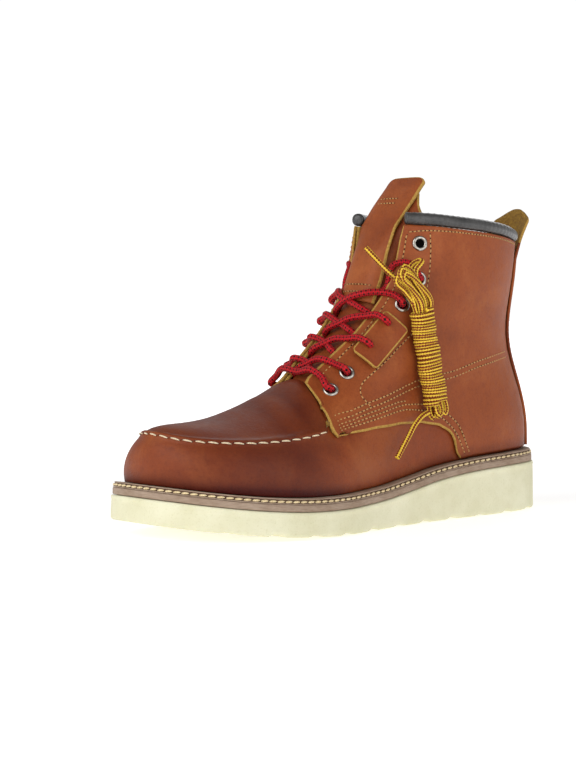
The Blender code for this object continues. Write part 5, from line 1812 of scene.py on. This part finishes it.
# points in mm, from the hank outward, as in the solids
SPARE_END_UPPER = [
    (40.2, -97.6, 130.3), (39.6, -99.3, 135.5), (37.9, -100.9, 139.7), (32.9, -103.8, 145.1),
    (27.9, -107.3, 150.4), (22.4, -111.6, 157.6), (17.4, -115.9, 164.8),
]
SPARE_END_LOWER = [
    (44.7, -90.0, 66.3), (45.1, -95.2, 64.6), (45.8, -101.4, 60.6), (46.6, -109.2, 51.8),
    (47.6, -118.5, 41.2),
]
SPARE_LOOP = [
    (39.8, -93.8, 130.2), (40.2, -94.6, 137.0), (39.2, -95.4, 146.0), (38.2, -94.0, 151.9),
    (38.6, -91.0, 154.9), (37.2, -88.5, 156.6), (35.2, -87.4, 157.2), (33.0, -87.4, 156.9),
    (30.8, -88.7, 155.5), (30.2, -91.0, 153.4), (31.2, -92.6, 148.5), (33.6, -92.4, 141.5),
    (36.4, -91.8, 134.6), (38.6, -90.2, 130.2),
]


def spare_cords():
    for name, points, end in (("spare_end_upper", SPARE_END_UPPER, "bare"),
                              ("spare_end_lower", SPARE_END_LOWER, "bare"),
                              ("spare_loop", SPARE_LOOP, "object")):
        line = cord_line(np.array(points) * MM)
        ob = braid_mesh(name + "_braid", line, SPARE_D / 2, YELLOW_BRAID, around=12, step=SPARE_D * 0.22,
                        strands=4)
        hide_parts(name)
        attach(ob, "root")


spare_hank()
spare_cords()

# Studio
# A white paper floor and a pale surround, with a big soft box above and in front of the
# toe, a weaker one from the right and one behind.


def studio():
    mat, shader, where = two_tone("white paper floor", 400.0, 2.0, "fafafa", "ffffff", 0.9)
    away = add(mat, "ShaderNodeVectorMath", {"operation": "LENGTH"}, {0: where}).outputs["Value"]
    glow = add(mat, "ShaderNodeMapRange", {"From Min": 0.25, "From Max": 1.3, "To Min": 0.42, "To Max": 1.0},
               {"Value": away}).outputs[0]
    shader.inputs["Emission Color"].default_value = (1.0, 1.0, 1.0, 1.0)
    mat.node_tree.links.new(glow, shader.inputs["Emission Strength"])
    mesh = bpy.data.meshes.new("floor_sheet")
    bm = bmesh.new()
    for x, y in ((-4, -4), (4, -4), (4, 4), (-4, 4)):
        bm.verts.new((x, y, -0.0006))
    bm.faces.new(bm.verts)
    bm.to_mesh(mesh)
    bm.free()
    floor = bpy.data.objects.new("floor_sheet", mesh)
    mesh.materials.append(mat)
    bpy.context.scene.collection.objects.link(floor)
    world = bpy.data.worlds.new("studio")
    world.use_nodes = True
    tree = world.node_tree
    tree.nodes["Background"].inputs["Color"].default_value = (1.0, 1.0, 1.0, 1.0)
    seen = tree.nodes.new("ShaderNodeLightPath").outputs["Is Camera Ray"]
    sky = tree.nodes.new("ShaderNodeTexCoord").outputs["Generated"]
    parts = tree.nodes.new("ShaderNodeSeparateXYZ")
    tree.links.new(sky, parts.inputs[0])
    overhead = tree.nodes.new("ShaderNodeMapRange")
    overhead.inputs["From Min"].default_value = 0.0
    overhead.inputs["To Min"].default_value = 0.66
    overhead.inputs["To Max"].default_value = 0.22
    tree.links.new(parts.outputs["Z"], overhead.inputs["Value"])
    level = tree.nodes.new("ShaderNodeMapRange")
    level.inputs["To Max"].default_value = 1.05
    tree.links.new(seen, level.inputs["Value"])
    tree.links.new(overhead.outputs[0], level.inputs["To Min"])
    tree.links.new(level.outputs[0], tree.nodes["Background"].inputs["Strength"])
    bpy.context.scene.world = world
    for name, power, size, at in (
        ("soft_box_key", 9.0, 1.0, (0.05, -1.35, 0.75)),
        ("soft_box_right", 6.0, 1.2, (1.5, -0.1, 0.65)),
        ("soft_box_back", 4.0, 0.9, (-0.7, 0.9, 0.9)),
    ):
        lamp = bpy.data.lights.new(name, "AREA")
        lamp.energy = power
        lamp.size = size
        ob = bpy.data.objects.new(name, lamp)
        bpy.context.scene.collection.objects.link(ob)
        ob.location = at
        aim = Vector((0.0, -0.11, 0.08)) - Vector(at)
        ob.rotation_euler = aim.to_track_quat("-Z", "Y").to_euler()
    bpy.context.scene.view_settings.view_transform = "Standard"


studio()
